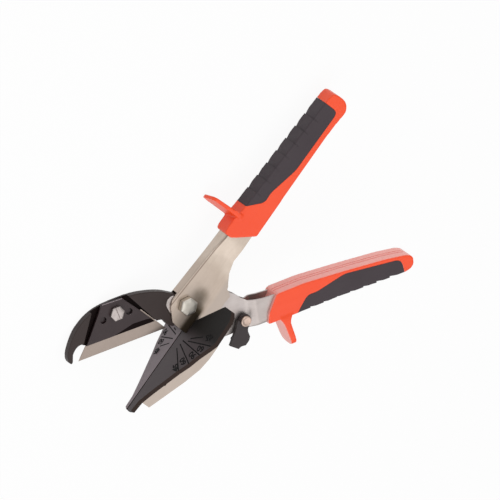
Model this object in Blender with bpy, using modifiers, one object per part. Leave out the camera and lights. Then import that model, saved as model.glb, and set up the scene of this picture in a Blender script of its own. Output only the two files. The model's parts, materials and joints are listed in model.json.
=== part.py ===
"""Mitre shears: two stamped channel levers, a cast jaw with a clamped blade, and a mitre table.

The tool's own frame has its origin on the pivot. X runs to the end of the anvil lever's grip, Y points
from the mitre table to the blade, and Z is the pivot's axis, towards the latch. The blade lever is drawn
closed, its cutting edge in the table's slot, and its empty turns it open about the pivot. One more empty
lays the open tool down as it rests on a bench: on the table's lower wing, the jaw casting's far face and
the tip of the upper grip's guard. The model's origin is under the middle of its box.
"""
import math

import bmesh
import bpy
from mathutils import Matrix, Vector

# Clearances and shared sizes, in metres, and angles in radians
GAP = 0.00025
OVERRUN = 0.0020
WELD = 0.000002
OPEN_ANGLE = math.radians(39.4)
REST_LEAN = math.radians(21)
REST_TURNS = 8

# Sheets and the stack across the pivot, from the middle plane outwards
LUG_HALF = 0.00105
BLADE_SHEET = 0.0012
ANVIL_SHEET = 0.0012
BOLT_RADIUS = 0.0025
BOLT_HEAD_RADIUS = 0.0058
BOLT_HEAD_HEIGHT = 0.0031
BOLT_END = 0.0010
BUSH_RADIUS = 0.0039
WASHER_RADIUS = 0.0062
WASHER_THICKNESS = 0.0010
NUT_RADIUS = 0.0058
NUT_HEIGHT = 0.0042
DOME_SHARE = 0.35
HEX_SHARE = 0.93

# Opening spring
SPRING_RADIUS = 0.0052
SPRING_WIRE = 0.00045
SPRING_HALF_WIDTH = 0.0008
SPRING_HOLLOW = 0.0068
SPRING_LEG = 0.0120
SPRING_REACH = 0.0260
SPRING_STEP = math.radians(18)
SPRING_SPARE_TURNS = 2

# Anvil lever
EYE_RADIUS = 0.0112
EYE_START = math.radians(76)
EYE_END = math.radians(136)
WEB_RISE = 0.0109
WEB_LEAN = math.radians(4)
STOP_CLEARANCE = 0.0008
ANVIL_BEND = 0.0015
ANVIL_NECK = 0.0365
ANVIL_FLARE = 0.0150
NECK_LENGTH = 0.0600
PLATE_DEPTH = 0.0378
JAW_LENGTH = 0.0670
NECK_EDGE = 0.0097
ANVIL_TANG_FALL_SHARE = 0.82

# Blade lever
BLADE_WEB_DROP = 0.0324
BLADE_BEND = 0.0015
BLADE_NECK = 0.0405
BLADE_FLARE = 0.0070
NOSE_ARM = 0.0090
NOSE_ANGLE = math.radians(153.7)
NOSE_RADIUS = 0.0052
NOSE_START = math.radians(88)
NOSE_END = math.radians(196)
RIVET_RADIUS = 0.0015
LOWER_RIVET_ARM = 0.0103
LOWER_RIVET_ANGLE = math.radians(219)
BLADE_TANG_TOP = 0.0142
BLADE_TANG_FALL = 0.0047

# Both tangs and both grips
TANG_HALF = 0.0053
TANG_BEND = 0.0027
TANG_LENGTH = 0.0650
GRIP_WALL = 0.0011
PAD_DEPTH = 0.0008
GRIP_EDGE = 0.0030
UPPER_INNER = 0.0127
UPPER_TANG_DROP = 0.00825
UPPER_FRONT = 0.0507
UPPER_LENGTH = 0.1134
UPPER_HEIGHT = 0.0224
LOWER_OUTER = 0.0330
LOWER_FRONT = 0.0523
LOWER_LENGTH = 0.1078
LOWER_HEIGHT = 0.0202
GUARD_THICKNESS = 0.0032
GUARD_HALF = 0.0072
GUARD_CORNER = 0.0045
UPPER_GUARD_PLACE = 0.0628
UPPER_GUARD_TOP = 0.0325
LOWER_GUARD_ROOT = 0.0095
LOWER_GUARD_PLACE = 0.0607
LOWER_GUARD_TOP = 0.0535
LOWER_GUARD_LEAN = 0.0065

# Mitre table, and the bar and pins under it
TABLE_DROP = 0.0111
ROOF_SLOPE = math.radians(10)
TABLE_THICKNESS = 0.0032
TABLE_NOSE = 0.0764
TABLE_TAIL = 0.0132
TABLE_HALF_WIDTH = 0.0303
TABLE_NOTCH = 0.0050
TABLE_CENTRE = 0.0150
SLOT_HALF = 0.0007
SLOT_BELOW_EDGE = 0.0006
FLANGE_THICKNESS = 0.0018
FLANGE_DROP = 0.0210
FLANGE_BACK = 0.0200
FLANGE_LENGTH = 0.0300
BAR_BACK = 0.0195
BAR_LENGTH = 0.0465
BAR_DROP = 0.0208
PIN_RADIUS = 0.0015
PIN_DROP = 0.0183
PIN_PLACE_SHARES = (0.15, 0.85)

# Jaw casting, blade, cover and clamp
HOLDER_LENGTH = 0.0878
HOLDER_RISE = 0.0226
NECK_RADIUS = 0.0195
EDGE_BITE = 0.0009
BLADE_LENGTH = 0.0634
BLADE_HEIGHT = 0.0190
BLADE_HEEL = 0.0153
BLADE_THICKNESS = 0.0006
COVER_THICKNESS = 0.0017
COVER_EDGE = 0.0003
LOCATOR_RADIUS = 0.00185
LOCATOR_SINK = 0.0007
CLAMP_RADIUS = 0.0020
CLAMP_HEAD_RADIUS = 0.00445
CLAMP_HEAD_HEIGHT = 0.0015
CLAMP_SLOT_HALF = 0.0005
CLAMP_SLOT_DEPTH = 0.0008
CLAMP_SLOT_ANGLE = math.radians(97.4)

# Latch
LATCH_PIN_X = 0.0372
LATCH_PIN_DROP = 0.0245
LATCH_EYE = 0.0042
LATCH_COLLAR = 0.0030
LATCH_THICKNESS = 0.0022
LATCH_REACH = 0.0170
LATCH_LUG_ARM = 0.0139
LATCH_LUG_RADIUS = 0.0013
LATCH_LOCKED = math.radians(160.3)
LATCH_SWING = math.radians(66.7)
LATCH_RIVET_RADIUS = 0.0019
LATCH_HEAD_RADIUS = 0.0036
LATCH_HEAD_HEIGHT = 0.0014

# The middle layers, worked out from the sizes above
blade_inner = LUG_HALF + GAP
blade_outer = blade_inner + BLADE_SHEET
anvil_inner = blade_outer + GAP
anvil_outer = anvil_inner + ANVIL_SHEET
outside = anvil_outer + GAP
blade_half = BLADE_THICKNESS / 2
cover_base = blade_half + GAP
cover_top = cover_base + COVER_THICKNESS
edge_drop = TABLE_DROP + EDGE_BITE
jaw_half = blade_outer
grip_skin = PAD_DEPTH + GRIP_WALL + GAP
grip_half = TANG_HALF + grip_skin
roof_fall = math.tan(ROOF_SLOPE)
table_bottom = TABLE_DROP + TABLE_THICKNESS
seat_drop = table_bottom + roof_fall * anvil_outer + GAP
bar_half = anvil_inner - GAP
latch_pin = Vector((LATCH_PIN_X, -LATCH_PIN_DROP, 0))

# Outlines as shares of the sizes that they follow
PLATE_FRONT_SHARES = ((-0.98, 0.42), (-1.24, 0.13), (-1.3, -0.3), (-1.32, -0.6))
JAW_LOWER_SHARES = ((-1, -0.577), (-0.61, -0.875), (-0.43, -0.985), (-0.3, -1.018), (-0.16, -1.018))
PLATE_REAR_SHARES = (
    (0.05, -0.619), (0.257, -0.611), (0.335, -0.624), (0.36, -0.571),
    (0.39, -0.5), (0.447, -0.429), (0.53, -0.339), (0.665, -0.267),
)
BLADE_TOP_SHARES = (
    (-0.017, 0.195), (0.167, 0.126), (0.52, -0.097), (0.585, -0.192),
    (0.647, -0.318), (0.713, -0.409), (0.772, -0.415), (0.872, -0.447),
)
BLADE_LOW_SHARES = ((0.367, -1), (0.133, -0.66), (-0.133, -0.393))
HOLDER_SHARES = (
    (-0.03, 0.18), (-0.0535, 0.394), (-0.09, 0.475), (-0.16, 0.635), (-0.243, 0.763), (-0.36, 0.87),
    (-0.464, 0.908), (-0.635, 0.892), (-0.728, 0.826), (-0.809, 0.68), (-0.889, 0.437), (-0.94, 0.162),
    (-0.974, -0.094), (-0.985, -0.23), (-0.985, -0.403), (-0.965, -0.5), (-0.949, -0.451),
    (-0.941, -0.221), (-0.91, -0.084), (-0.89, -0.035), (-0.86, -0.013), (-0.841, -0.075),
    (-0.825, -0.159), (-0.259, -0.165), (-0.215, -0.17), (-0.2, -0.204), (-0.182, -0.296),
    (-0.172, -0.407), (-0.11, -0.549),
    (-0.03, -0.15),
)
COVER_SHARES = ((-0.648, 0.93), (-0.483, 0.9), (-0.369, 0.385), (-0.259, -0.155), (-0.822, -0.128))
RECESS_SHARES = ((-0.708, 1.06), (-0.46, 1.06), (-0.236, -0.215), (-0.853, -0.215), (-0.846, -0.05))
LOCATOR_SHARES = ((-0.658, 0.442), (-0.442, 0.425))
CLAMP_SHARE = (-0.555, 0.535)
BLADE_SHARES = ((-1, 0), (0, 0), (-0.232, 1), (-0.768, 1))
TABLE_FRONT_SHARES = (
    (0.122, -0.982), (0.149, -0.877), (0.267, -0.759), (0.446, -0.602), (0.561, -0.497),
    (0.686, -0.406), (0.789, -0.301), (0.908, -0.209), (1, -0.131),
)
TABLE_REAR_SHARES = ((0.99, -0.076), (0.98, 0.53), (0.921, 0.826), (0.848, 1), (0.627, 1))
UPPER_GRIP_SHARES = (
    (0.092, 0.067), (0.002, 0.75), (0.004, 0.97), (0.03, 1), (0.1, 1), (0.17, 0.938),
    (0.915, 0.714), (0.98, 0.66), (1, 0.58), (1, 0.27), (0.985, 0.1), (0.95, 0.005),
    (0.92, 0.01), (0.86, 0.07), (0.79, 0.1), (0.38, 0.089),
)
LOWER_GRIP_SHARES = (
    (0, 0.02), (0.014, 0.35), (0.086, 0.99), (0.275, 1.02), (0.546, 0.9), (0.817, 0.765),
    (0.955, 0.675), (0.985, 0.6), (1, 0.45), (1, 0.1), (0.982, 0.01), (0.96, 0),
)
UPPER_PAD_SHARES = (
    (0.17, 1.1), (0.2, 0.9), (0.237, 0.71), (0.275, 0.51), (0.336, 0.535), (0.52, 0.275),
    (0.9, 0.25), (0.921, 0.33), (0.925, 1.1),
)
LOWER_PAD_SHARES = (
    (0.19, -0.1), (0.216, 0.124), (0.28, 0.52), (0.338, 0.5), (0.539, 0.748), (0.899, 0.52),
    (0.921, 0.366), (0.93, -0.1),
)
LATCH_SHARES = (
    (-0.306, 0.1), (-0.453, -0.235), (-0.788, -0.776), (-0.471, -1.018), (-0.341, -0.959),
    (-0.147, -0.976), (0.012, -0.841), (0.082, -0.694), (0.035, -0.465), (0.047, -0.365), (0.235, 0),
)

# Axis letters and the matrices that turn a flat outline's own axes onto the tool's
AXES = {
    "Z": Matrix.Identity(4),
    "X": Matrix(((0, 0, 1, 0), (1, 0, 0, 0), (0, 1, 0, 0), (0, 0, 0, 1))),
    "Y": Matrix(((0, 1, 0, 0), (0, 0, 1, 0), (1, 0, 0, 0), (0, 0, 0, 1))),
}
ROUND_STEPS = 32
BEND_STEPS = 4
SHARP_ANGLE = math.radians(35)


def clear_scene():
    for old in list(bpy.data.objects):
        bpy.data.objects.remove(old, do_unlink=True)


def new_collection(name):
    made = bpy.data.collections.new(name)
    bpy.context.scene.collection.children.link(made)
    return made


def new_empty(name, parent=None, place=(0, 0, 0), turn=0.0):
    """An empty on a joint's axis, turned about Z."""
    empty = bpy.data.objects.new(name, None)
    empty.location = place
    empty.rotation_euler = (0, 0, turn)
    empty.parent = parent
    parts.objects.link(empty)
    return empty


def new_material(name, colour, roughness, metallic):
    """A plain Principled finish from an sRGB colour."""
    made = bpy.data.materials.new(name)
    made.use_nodes = True
    surface = made.node_tree.nodes["Principled BSDF"]
    linear = [channel ** 2.2 for channel in colour]
    surface.inputs["Base Color"].default_value = (*linear, 1)
    surface.inputs["Roughness"].default_value = roughness
    surface.inputs["Metallic"].default_value = metallic
    return made


def in_sizes(shares, length, height, start=(0, 0)):
    """Points given as shares of a length and a height, measured from a start point."""
    return [(start[0] + length * u, start[1] + height * v) for u, v in shares]


def arc(centre, radius, first, last, steps=8):
    """Points along a round stretch of an outline."""
    angles = [first + (last - first) * step / steps for step in range(steps + 1)]
    return [(centre[0] + radius * math.cos(a), centre[1] + radius * math.sin(a)) for a in angles]


def polar(radius, angle):
    return (radius * math.cos(angle), radius * math.sin(angle))


def turned_about_pivot(point, angle):
    """A point of the tool's plane, turned about the pivot."""
    x, y = point
    return (x * math.cos(angle) - y * math.sin(angle), x * math.sin(angle) + y * math.cos(angle))


def tidy(mesh):
    """Welds a mesh's seams and turns its faces outwards."""
    shape = bmesh.new()
    shape.from_mesh(mesh)
    bmesh.ops.remove_doubles(shape, verts=shape.verts, dist=WELD)
    bmesh.ops.recalc_face_normals(shape, faces=shape.faces)
    shape.to_mesh(mesh)
    shape.free()


def solid_from(guide, place=AXES["Z"]):
    """The closed mesh object that a curve or a modified object makes, in place of its guide."""
    bpy.context.view_layer.update()
    view = bpy.context.evaluated_depsgraph_get()
    mesh = bpy.data.meshes.new_from_object(guide.evaluated_get(view))
    mesh.transform(place)
    tidy(mesh)
    made = bpy.data.objects.new(guide.name, mesh)
    bpy.data.objects.remove(guide, do_unlink=True)
    parts.objects.link(made)
    return made


def prism(name, points, low, high, axis="Z", edge=0.0):
    """A flat outline drawn out between two heights along an axis, with rounded edges if asked."""
    curve = bpy.data.curves.new(name, "CURVE")
    curve.dimensions = "2D"
    curve.fill_mode = "BOTH"
    curve.extrude = (high - low) / 2 - edge
    curve.bevel_depth = edge
    curve.bevel_resolution = 1
    curve.offset = -edge
    spline = curve.splines.new("POLY")
    spline.points.add(len(points) - 1)
    spline.use_cyclic_u = True
    for corner, (u, v) in zip(spline.points, points):
        corner.co = (u, v, 0, 1)
    guide = bpy.data.objects.new(name, curve)
    parts.objects.link(guide)
    return solid_from(guide, AXES[axis] @ Matrix.Translation((0, 0, (low + high) / 2)))


def block(name, x, y, z):
    """A box between two places on each axis."""
    return prism(name, [(x[0], y[0]), (x[1], y[0]), (x[1], y[1]), (x[0], y[1])], z[0], z[1])


def rod(name, radius, low, high, place=(0, 0), sides=ROUND_STEPS):
    """A cylinder, or with six sides a hexagon, along Z."""
    mesh = bpy.data.meshes.new(name)
    shape = bmesh.new()
    middle = Matrix.Translation((place[0], place[1], (low + high) / 2))
    bmesh.ops.create_cone(
        shape, cap_ends=True, segments=sides, radius1=radius, radius2=radius,
        depth=high - low, matrix=middle,
    )
    shape.to_mesh(mesh)
    shape.free()
    made = bpy.data.objects.new(name, mesh)
    parts.objects.link(made)
    return made


def turned_shape(name, profile):
    """A profile of radii and heights turned about Z."""
    mesh = bpy.data.meshes.new(name)
    edges = [(at, at + 1) for at in range(len(profile) - 1)]
    mesh.from_pydata([(radius, 0, height) for radius, height in profile], edges, [])
    guide = bpy.data.objects.new(name, mesh)
    parts.objects.link(guide)
    screw = guide.modifiers.new("turn", "SCREW")
    screw.steps = ROUND_STEPS
    screw.render_steps = ROUND_STEPS
    screw.use_merge_vertices = True
    screw.merge_threshold = WELD
    return solid_from(guide)


def dome(radius, low, high):
    """The profile of a head with a flat base and a rounded crown."""
    crown = (high - low) * DOME_SHARE
    shoulder = [
        (radius * math.cos(turn), high - crown + crown * math.sin(turn))
        for turn in (math.pi / 2 * step / 6 for step in range(7))
    ]
    return [(0, low), (radius, low), *shoulder[:-1], (0, high)]


def wire(name, points, radius):
    """A round wire through a list of points."""
    curve = bpy.data.curves.new(name, "CURVE")
    curve.dimensions = "3D"
    curve.bevel_depth = radius
    curve.bevel_resolution = 2
    curve.use_fill_caps = True
    spline = curve.splines.new("POLY")
    spline.points.add(len(points) - 1)
    for knot, point in zip(spline.points, points):
        knot.co = (*point, 1)
    guide = bpy.data.objects.new(name, curve)
    parts.objects.link(guide)
    return solid_from(guide)


def boolean(piece, tool, operation):
    """One Boolean with a tool that isn't needed afterwards."""
    modifier = piece.modifiers.new("shape", "BOOLEAN")
    modifier.operation = operation
    modifier.solver = "EXACT"
    modifier.object = tool
    bpy.context.view_layer.update()
    view = bpy.context.evaluated_depsgraph_get()
    mesh = bpy.data.meshes.new_from_object(piece.evaluated_get(view))
    piece.modifiers.clear()
    piece.data = mesh
    bpy.data.objects.remove(tool, do_unlink=True)


def cut(piece, *tools):
    for tool in tools:
        boolean(piece, tool, "DIFFERENCE")


def join(piece, *tools):
    for tool in tools:
        boolean(piece, tool, "UNION")


def keep(piece, tool):
    boolean(piece, tool, "INTERSECT")


def lofted(name, rings):
    """A solid through rings of equally many points, closed at both ends."""
    mesh = bpy.data.meshes.new(name)
    shape = bmesh.new()
    rows = [[shape.verts.new(point) for point in ring] for ring in rings]
    for row, after in zip(rows, rows[1:]):
        for at in range(len(row)):
            near = (at + 1) % len(row)
            shape.faces.new((row[at], row[near], after[near], after[at]))
    shape.faces.new(rows[0])
    shape.faces.new(rows[-1])
    bmesh.ops.recalc_face_normals(shape, faces=shape.faces)
    shape.to_mesh(mesh)
    shape.free()
    made = bpy.data.objects.new(name, mesh)
    parts.objects.link(made)
    return made


def bend_points(web, half, radius, side):
    """One wall and the rounded corner to the web, near side, in Y and Z."""
    turns = [math.pi / 2 * step / BEND_STEPS for step in range(BEND_STEPS + 1)]
    return [
        (web - side * radius * (1 - math.sin(turn)), half - radius * (1 - math.cos(turn)))
        for turn in turns
    ]


def channel(name, stations, sheet, free_edge, side):
    """A folded channel through stations of place, half width, web height and bend radius."""
    rings = []
    for x, half, web, bend in stations:
        outer = [(free_edge, half), *bend_points(web, half, bend, side)]
        inner_bend = bend - sheet
        inner = [
            (free_edge, half - sheet),
            *bend_points(web - side * sheet, half - sheet, inner_bend, side),
        ]
        outer += [(y, -z) for y, z in reversed(outer)]
        inner += [(y, -z) for y, z in reversed(inner)]
        rings.append([(x, y, z) for y, z in outer + inner[::-1]])
    return lofted(name, rings)


def core(name, stations, free_edge, side):
    """The solid block that a channel and its inside fill, grown by the clearance."""
    rings = []
    for x, half, web, bend in stations:
        wall = bend_points(web + side * GAP, half + GAP, bend + GAP, side)
        outer = [(free_edge(x) - side * GAP, half + GAP), *wall]
        outer += [(y, -z) for y, z in reversed(outer)]
        rings.append([(x, y, z) for y, z in outer])
    return lofted(name, rings)


def finish(piece, name, material, parent, place=(0, 0, 0), turn=0.0):
    """Names a finished piece, gives it its material and smooth shading, and hangs it on its parent."""
    piece.name = name
    piece.data.name = name
    piece.data.materials.clear()
    piece.data.materials.append(material)
    piece.data.shade_smooth()
    piece.data.set_sharp_from_angle(angle=SHARP_ANGLE)
    piece.parent = parent
    piece.location = place
    piece.rotation_euler = (0, 0, turn)
    return piece


def anvil_web(x):
    """The height of the anvil lever's outer web above the pivot."""
    return WEB_RISE - (x - web_start) * math.tan(WEB_LEAN)


def flare(start, length, narrow, wide, bend_narrow, bend_wide, web):
    """Stations of a lever's walls as they spread from the neck to the tang."""
    stations = []
    for step in range(7):
        share = step / 6
        eased = (1 - math.cos(math.pi * share)) / 2
        x = start + length * share
        half = narrow + (wide - narrow) * eased
        stations.append((x, half, web(x), bend_narrow + (bend_wide - bend_narrow) * eased))
    return stations


def anvil_stations():
    start = -JAW_LENGTH - OVERRUN
    spread = flare(
        ANVIL_NECK, ANVIL_FLARE, anvil_outer, TANG_HALF, ANVIL_BEND, TANG_BEND, anvil_web
    )
    end = UPPER_FRONT + TANG_LENGTH
    return [
        (start, anvil_outer, anvil_web(start), ANVIL_BEND),
        *spread,
        (end, TANG_HALF, anvil_web(end), TANG_BEND),
    ]


def anvil_tang_low(x):
    """The free edge of the anvil lever's walls inside the grip."""
    share = (x - UPPER_FRONT) / TANG_LENGTH
    return -UPPER_TANG_DROP * (1 - (1 - ANVIL_TANG_FALL_SHARE) * share)


def anvil_socket_low(x):
    """The free edge that the upper grip's socket clears, lower at its mouth."""
    return -NECK_EDGE if x < NECK_LENGTH else anvil_tang_low(x)


def blade_web(x):
    """The height of the blade lever's outer web, which steps in under the grip."""
    inside = LOWER_OUTER - grip_skin
    share = min(max((x - LOWER_FRONT) / grip_skin / 3, 0), 1)
    return -(BLADE_WEB_DROP + (inside - BLADE_WEB_DROP) * share)


def blade_tang_top(x):
    share = (x - LOWER_FRONT) / TANG_LENGTH
    return -(BLADE_TANG_TOP + BLADE_TANG_FALL * share)


def blade_stations():
    start = -NECK_RADIUS
    spread = flare(
        BLADE_NECK, BLADE_FLARE, blade_outer, TANG_HALF, BLADE_BEND, TANG_BEND, blade_web
    )
    stepped = LOWER_FRONT + grip_skin * 3
    end = LOWER_FRONT + TANG_LENGTH
    return [
        (start, blade_outer, blade_web(start), BLADE_BEND),
        *spread,
        (LOWER_FRONT, TANG_HALF, blade_web(LOWER_FRONT), TANG_BEND),
        (stepped, TANG_HALF, blade_web(stepped), TANG_BEND),
        (end, TANG_HALF, blade_web(end), TANG_BEND),
    ]


def latch_lug_locked():
    """Where the latch's lug lies when the closed shears are locked."""
    x, y = polar(LATCH_LUG_ARM, LATCH_LOCKED)
    return (latch_pin.x + x, latch_pin.y + y)


def table_pin_places():
    return [(-FLANGE_BACK - FLANGE_LENGTH * share, -PIN_DROP) for share in PIN_PLACE_SHARES]


def make_anvil_lever():
    lever = channel(
        "anvil_lever", anvil_stations(), ANVIL_SHEET, -PLATE_DEPTH - OVERRUN, 1
    )
    end = UPPER_FRONT + TANG_LENGTH
    neck_front = -(TABLE_CENTRE - GAP)
    outline = [
        (end - OVERRUN, WEB_RISE + OVERRUN),
        (web_start, WEB_RISE + OVERRUN),
        *arc((0, 0), EYE_RADIUS, EYE_START, EYE_END),
        *in_sizes(PLATE_FRONT_SHARES, EYE_RADIUS, EYE_RADIUS),
        (neck_front, -TABLE_DROP),
        (neck_front, -seat_drop),
        (-JAW_LENGTH, -seat_drop),
        *in_sizes(JAW_LOWER_SHARES, JAW_LENGTH, PLATE_DEPTH),
        *in_sizes(PLATE_REAR_SHARES, NECK_LENGTH, PLATE_DEPTH),
        (NECK_LENGTH, -NECK_EDGE),
        (NECK_LENGTH + grip_skin, anvil_tang_low(NECK_LENGTH)),
        (end - OVERRUN, anvil_tang_low(end)),
    ]
    across = TANG_HALF + OVERRUN
    keep(lever, prism("outline", outline, -across, across))
    cut(
        lever,
        block(
            "web end", (-NECK_RADIUS, web_start), (BUSH_RADIUS, WEB_RISE + OVERRUN),
            (-anvil_inner, anvil_inner),
        ),
        rod("pivot hole", BOLT_RADIUS + GAP, -across, across),
        rod("lug notch", LATCH_LUG_RADIUS + GAP, -across, across, latch_lug_locked()),
        *[rod("pin hole", PIN_RADIUS + GAP, -across, across, place) for place in table_pin_places()],
    )
    finish(lever, "anvil_lever", steel, tool)


def table_plan():
    """The table seen from above: the nose, both wings and the notch that the levers pass through."""
    wing = in_sizes(TABLE_FRONT_SHARES, TABLE_HALF_WIDTH, TABLE_NOSE)
    wing += in_sizes(TABLE_REAR_SHARES, TABLE_HALF_WIDTH, TABLE_TAIL)
    notch = outside + GAP
    wing += [(notch, -TABLE_NOTCH), (notch, -TABLE_CENTRE)]
    return [(0, -TABLE_NOSE), *wing, *[(-z, x) for z, x in reversed(wing)]]


def make_mitre_table():
    reach = TABLE_HALF_WIDTH + OVERRUN
    low = -table_bottom - roof_fall * reach
    table = prism("mitre_table", table_plan(), low - OVERRUN, -TABLE_DROP + OVERRUN, "Y")
    roof = [
        (-TABLE_DROP, 0),
        (-TABLE_DROP - roof_fall * reach, reach),
        (low, reach),
        (-table_bottom, 0),
        (low, -reach),
        (-TABLE_DROP - roof_fall * reach, -reach),
    ]
    keep(table, prism("roof", roof, -TABLE_NOSE - OVERRUN, TABLE_NOSE, "X"))
    lap = table_bottom - TABLE_THICKNESS / 3
    along = (-FLANGE_BACK - FLANGE_LENGTH, -FLANGE_BACK)
    for side in (1, -1):
        across = sorted((side * outside, side * (outside + FLANGE_THICKNESS)))
        join(table, block("flange", along, (-FLANGE_DROP, -lap), across))
    bottom = edge_drop + SLOT_BELOW_EDGE
    through = outside + FLANGE_THICKNESS + OVERRUN
    cut(
        table,
        block("slot", (-TABLE_NOSE - OVERRUN, 0), (-bottom, 0), (-SLOT_HALF, SLOT_HALF)),
        *[rod("pin hole", PIN_RADIUS + GAP, -through, through, place) for place in table_pin_places()],
    )
    return finish(table, "mitre_table", black_plastic, tool)


def make_anvil_bar():
    top = table_bottom + roof_fall * bar_half + GAP
    bar = block(
        "anvil_bar", (-BAR_BACK - BAR_LENGTH, -BAR_BACK), (-BAR_DROP, -top), (-bar_half, bar_half)
    )
    cut(bar, *[
        rod("pin hole", PIN_RADIUS + GAP, -bar_half - OVERRUN, bar_half + OVERRUN, place)
        for place in table_pin_places()
    ])
    finish(bar, "anvil_bar", dark_steel, tool)


def make_table_pins():
    reach = outside + FLANGE_THICKNESS
    for name, place in zip(("table_pin_rear", "table_pin_front"), table_pin_places()):
        finish(rod(name, PIN_RADIUS, -reach, reach), name, dark_steel, tool, (*place, 0))


def make_pivot():
    head_top = outside + BOLT_HEAD_HEIGHT
    nut_start = outside + WASHER_THICKNESS + GAP
    shank_end = nut_start + NUT_HEIGHT + BOLT_END
    bolt = rod("pivot_bolt", BOLT_HEAD_RADIUS, outside, head_top, sides=6)
    keep(bolt, turned_shape("crown", dome(BOLT_HEAD_RADIUS * HEX_SHARE + GAP, outside - GAP, head_top)))
    join(bolt, rod("shank", BOLT_RADIUS, -shank_end, outside + GAP))
    finish(bolt, "pivot_bolt", bright_steel, tool)

    bush = rod("pivot_bush", BUSH_RADIUS, -bar_half, bar_half)
    cut(bush, rod("bore", BOLT_RADIUS + GAP, -outside, outside))
    finish(bush, "pivot_bush", bright_steel, tool)

    washer = rod("pivot_washer", WASHER_RADIUS, 0, WASHER_THICKNESS)
    cut(washer, rod("bore", BOLT_RADIUS + GAP, -OVERRUN, WASHER_THICKNESS + OVERRUN))
    finish(washer, "pivot_washer", bright_steel, tool, (0, 0, -outside - WASHER_THICKNESS))

    nut = rod("pivot_nut", NUT_RADIUS, 0, NUT_HEIGHT, sides=6)
    cut(nut, rod("bore", BOLT_RADIUS + GAP, -OVERRUN, NUT_HEIGHT + OVERRUN))
    finish(nut, "pivot_nut", bright_steel, tool, (0, 0, -nut_start - NUT_HEIGHT))


def make_opening_spring():
    """One coil round the bush, a leg on the anvil lever's web and a leg on the blade lever's web."""
    seat = SPRING_WIRE + GAP
    upper = (SPRING_LEG, anvil_web(SPRING_LEG) - ANVIL_SHEET - seat)
    lower = turned_about_pivot((SPRING_REACH, -BLADE_WEB_DROP + BLADE_SHEET + seat), -OPEN_ANGLE)
    first = math.atan2(upper[1], upper[0]) + math.acos(SPRING_RADIUS / math.hypot(*upper))
    last = math.atan2(lower[1], lower[0]) - math.acos(SPRING_RADIUS / math.hypot(*lower))
    last += math.tau * SPRING_SPARE_TURNS
    steps = round((last - first) / SPRING_STEP)
    points = [(*upper, -SPRING_HALF_WIDTH)]
    for step in range(steps + 1):
        share = step / steps
        height = SPRING_HALF_WIDTH * (2 * share - 1)
        points.append((*polar(SPRING_RADIUS, first + (last - first) * share), height))
    points.append((*lower, SPRING_HALF_WIDTH))
    finish(wire("opening_spring", points, SPRING_WIRE), "opening_spring", spring_steel, tool)


def blade_lever_outline(grow=0.0):
    """The blade lever's side view, grown all round its nose by a clearance."""
    end = LOWER_FRONT + TANG_LENGTH - OVERRUN
    nose = polar(NOSE_ARM, NOSE_ANGLE)
    top = in_sizes(BLADE_TOP_SHARES, NECK_LENGTH, BLADE_WEB_DROP)
    low = in_sizes(BLADE_LOW_SHARES, NECK_LENGTH, BLADE_WEB_DROP)
    return [
        (end, blade_tang_top(end)),
        *[(x, y + grow) for x, y in reversed(top)],
        *arc(nose, NOSE_RADIUS + grow, NOSE_START, NOSE_END),
        (low[-1][0] - grow, low[-1][1] - grow),
        *[(x - grow, y - grow) for x, y in reversed(low[:-1])],
        (low[0][0], -LOWER_OUTER - OVERRUN),
        (end, -LOWER_OUTER - OVERRUN),
    ]


def rivet_places():
    return [polar(NOSE_ARM, NOSE_ANGLE), polar(LOWER_RIVET_ARM, LOWER_RIVET_ANGLE)]


def make_blade_lever():
    lever = channel("blade_lever", blade_stations(), BLADE_SHEET, OVERRUN + EYE_RADIUS, -1)
    across = TANG_HALF + OVERRUN
    keep(lever, prism("outline", blade_lever_outline(), -across, across))
    cut(
        lever,
        rod("bush hole", BUSH_RADIUS + GAP, -across, across),
        rod("latch hole", LATCH_RIVET_RADIUS + GAP, -across, across, latch_pin.xy),
        *[rod("rivet hole", RIVET_RADIUS + GAP, -across, across, place) for place in rivet_places()],
    )
    finish(lever, "blade_lever", steel, blade_pivot)


def make_holder_rivets():
    for name, place in zip(("holder_rivet_upper", "holder_rivet_lower"), rivet_places()):
        rivet = rod(name, RIVET_RADIUS, -blade_outer, blade_outer)
        finish(rivet, name, bright_steel, blade_pivot, (*place, 0))


def holder_points(shares):
    return in_sizes(shares, HOLDER_LENGTH, HOLDER_RISE)


def make_blade_holder():
    holder = prism("blade_holder", holder_points(HOLDER_SHARES), -jaw_half, jaw_half)
    above = jaw_half + OVERRUN
    for side in (1, -1):
        lug = sorted((side * LUG_HALF, side * above))
        cut(holder, prism("lug", blade_lever_outline(GAP), *lug))
    cut(
        holder,
        rod("spring hollow", SPRING_HOLLOW, -above, above),
        prism("recess", holder_points(RECESS_SHARES), -cover_base, above),
        prism("blade pocket", grown(blade_points(), GAP), -cover_base, cover_base),
        rod("clamp hole", CLAMP_RADIUS + GAP, -above, above, *holder_points([CLAMP_SHARE])),
        *[
            rod("locator hole", LOCATOR_RADIUS + GAP, -above, above, place)
            for place in holder_points(LOCATOR_SHARES)
        ],
        *[
            rod("rivet hole", RIVET_RADIUS + GAP, -above, above, place)
            for place in rivet_places()
        ],
    )
    return finish(holder, "blade_holder", black_casting, blade_pivot)


def blade_points():
    return in_sizes(BLADE_SHARES, BLADE_LENGTH, BLADE_HEIGHT, (-BLADE_HEEL, -edge_drop))


def make_blade():
    blade = prism("blade", blade_points(), -blade_half, blade_half)
    finish(blade, "blade", blade_steel, blade_pivot)


def make_blade_cover():
    cover = prism("blade_cover", holder_points(COVER_SHARES), cover_base, cover_top, edge=COVER_EDGE)
    above = cover_top + OVERRUN
    cut(
        cover,
        rod("clamp hole", CLAMP_RADIUS + GAP, 0, above, *holder_points([CLAMP_SHARE])),
        *[
            rod("locator hole", LOCATOR_RADIUS + GAP, 0, above, place)
            for place in holder_points(LOCATOR_SHARES)
        ],
    )
    finish(cover, "blade_cover", dark_steel, blade_pivot)


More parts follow.
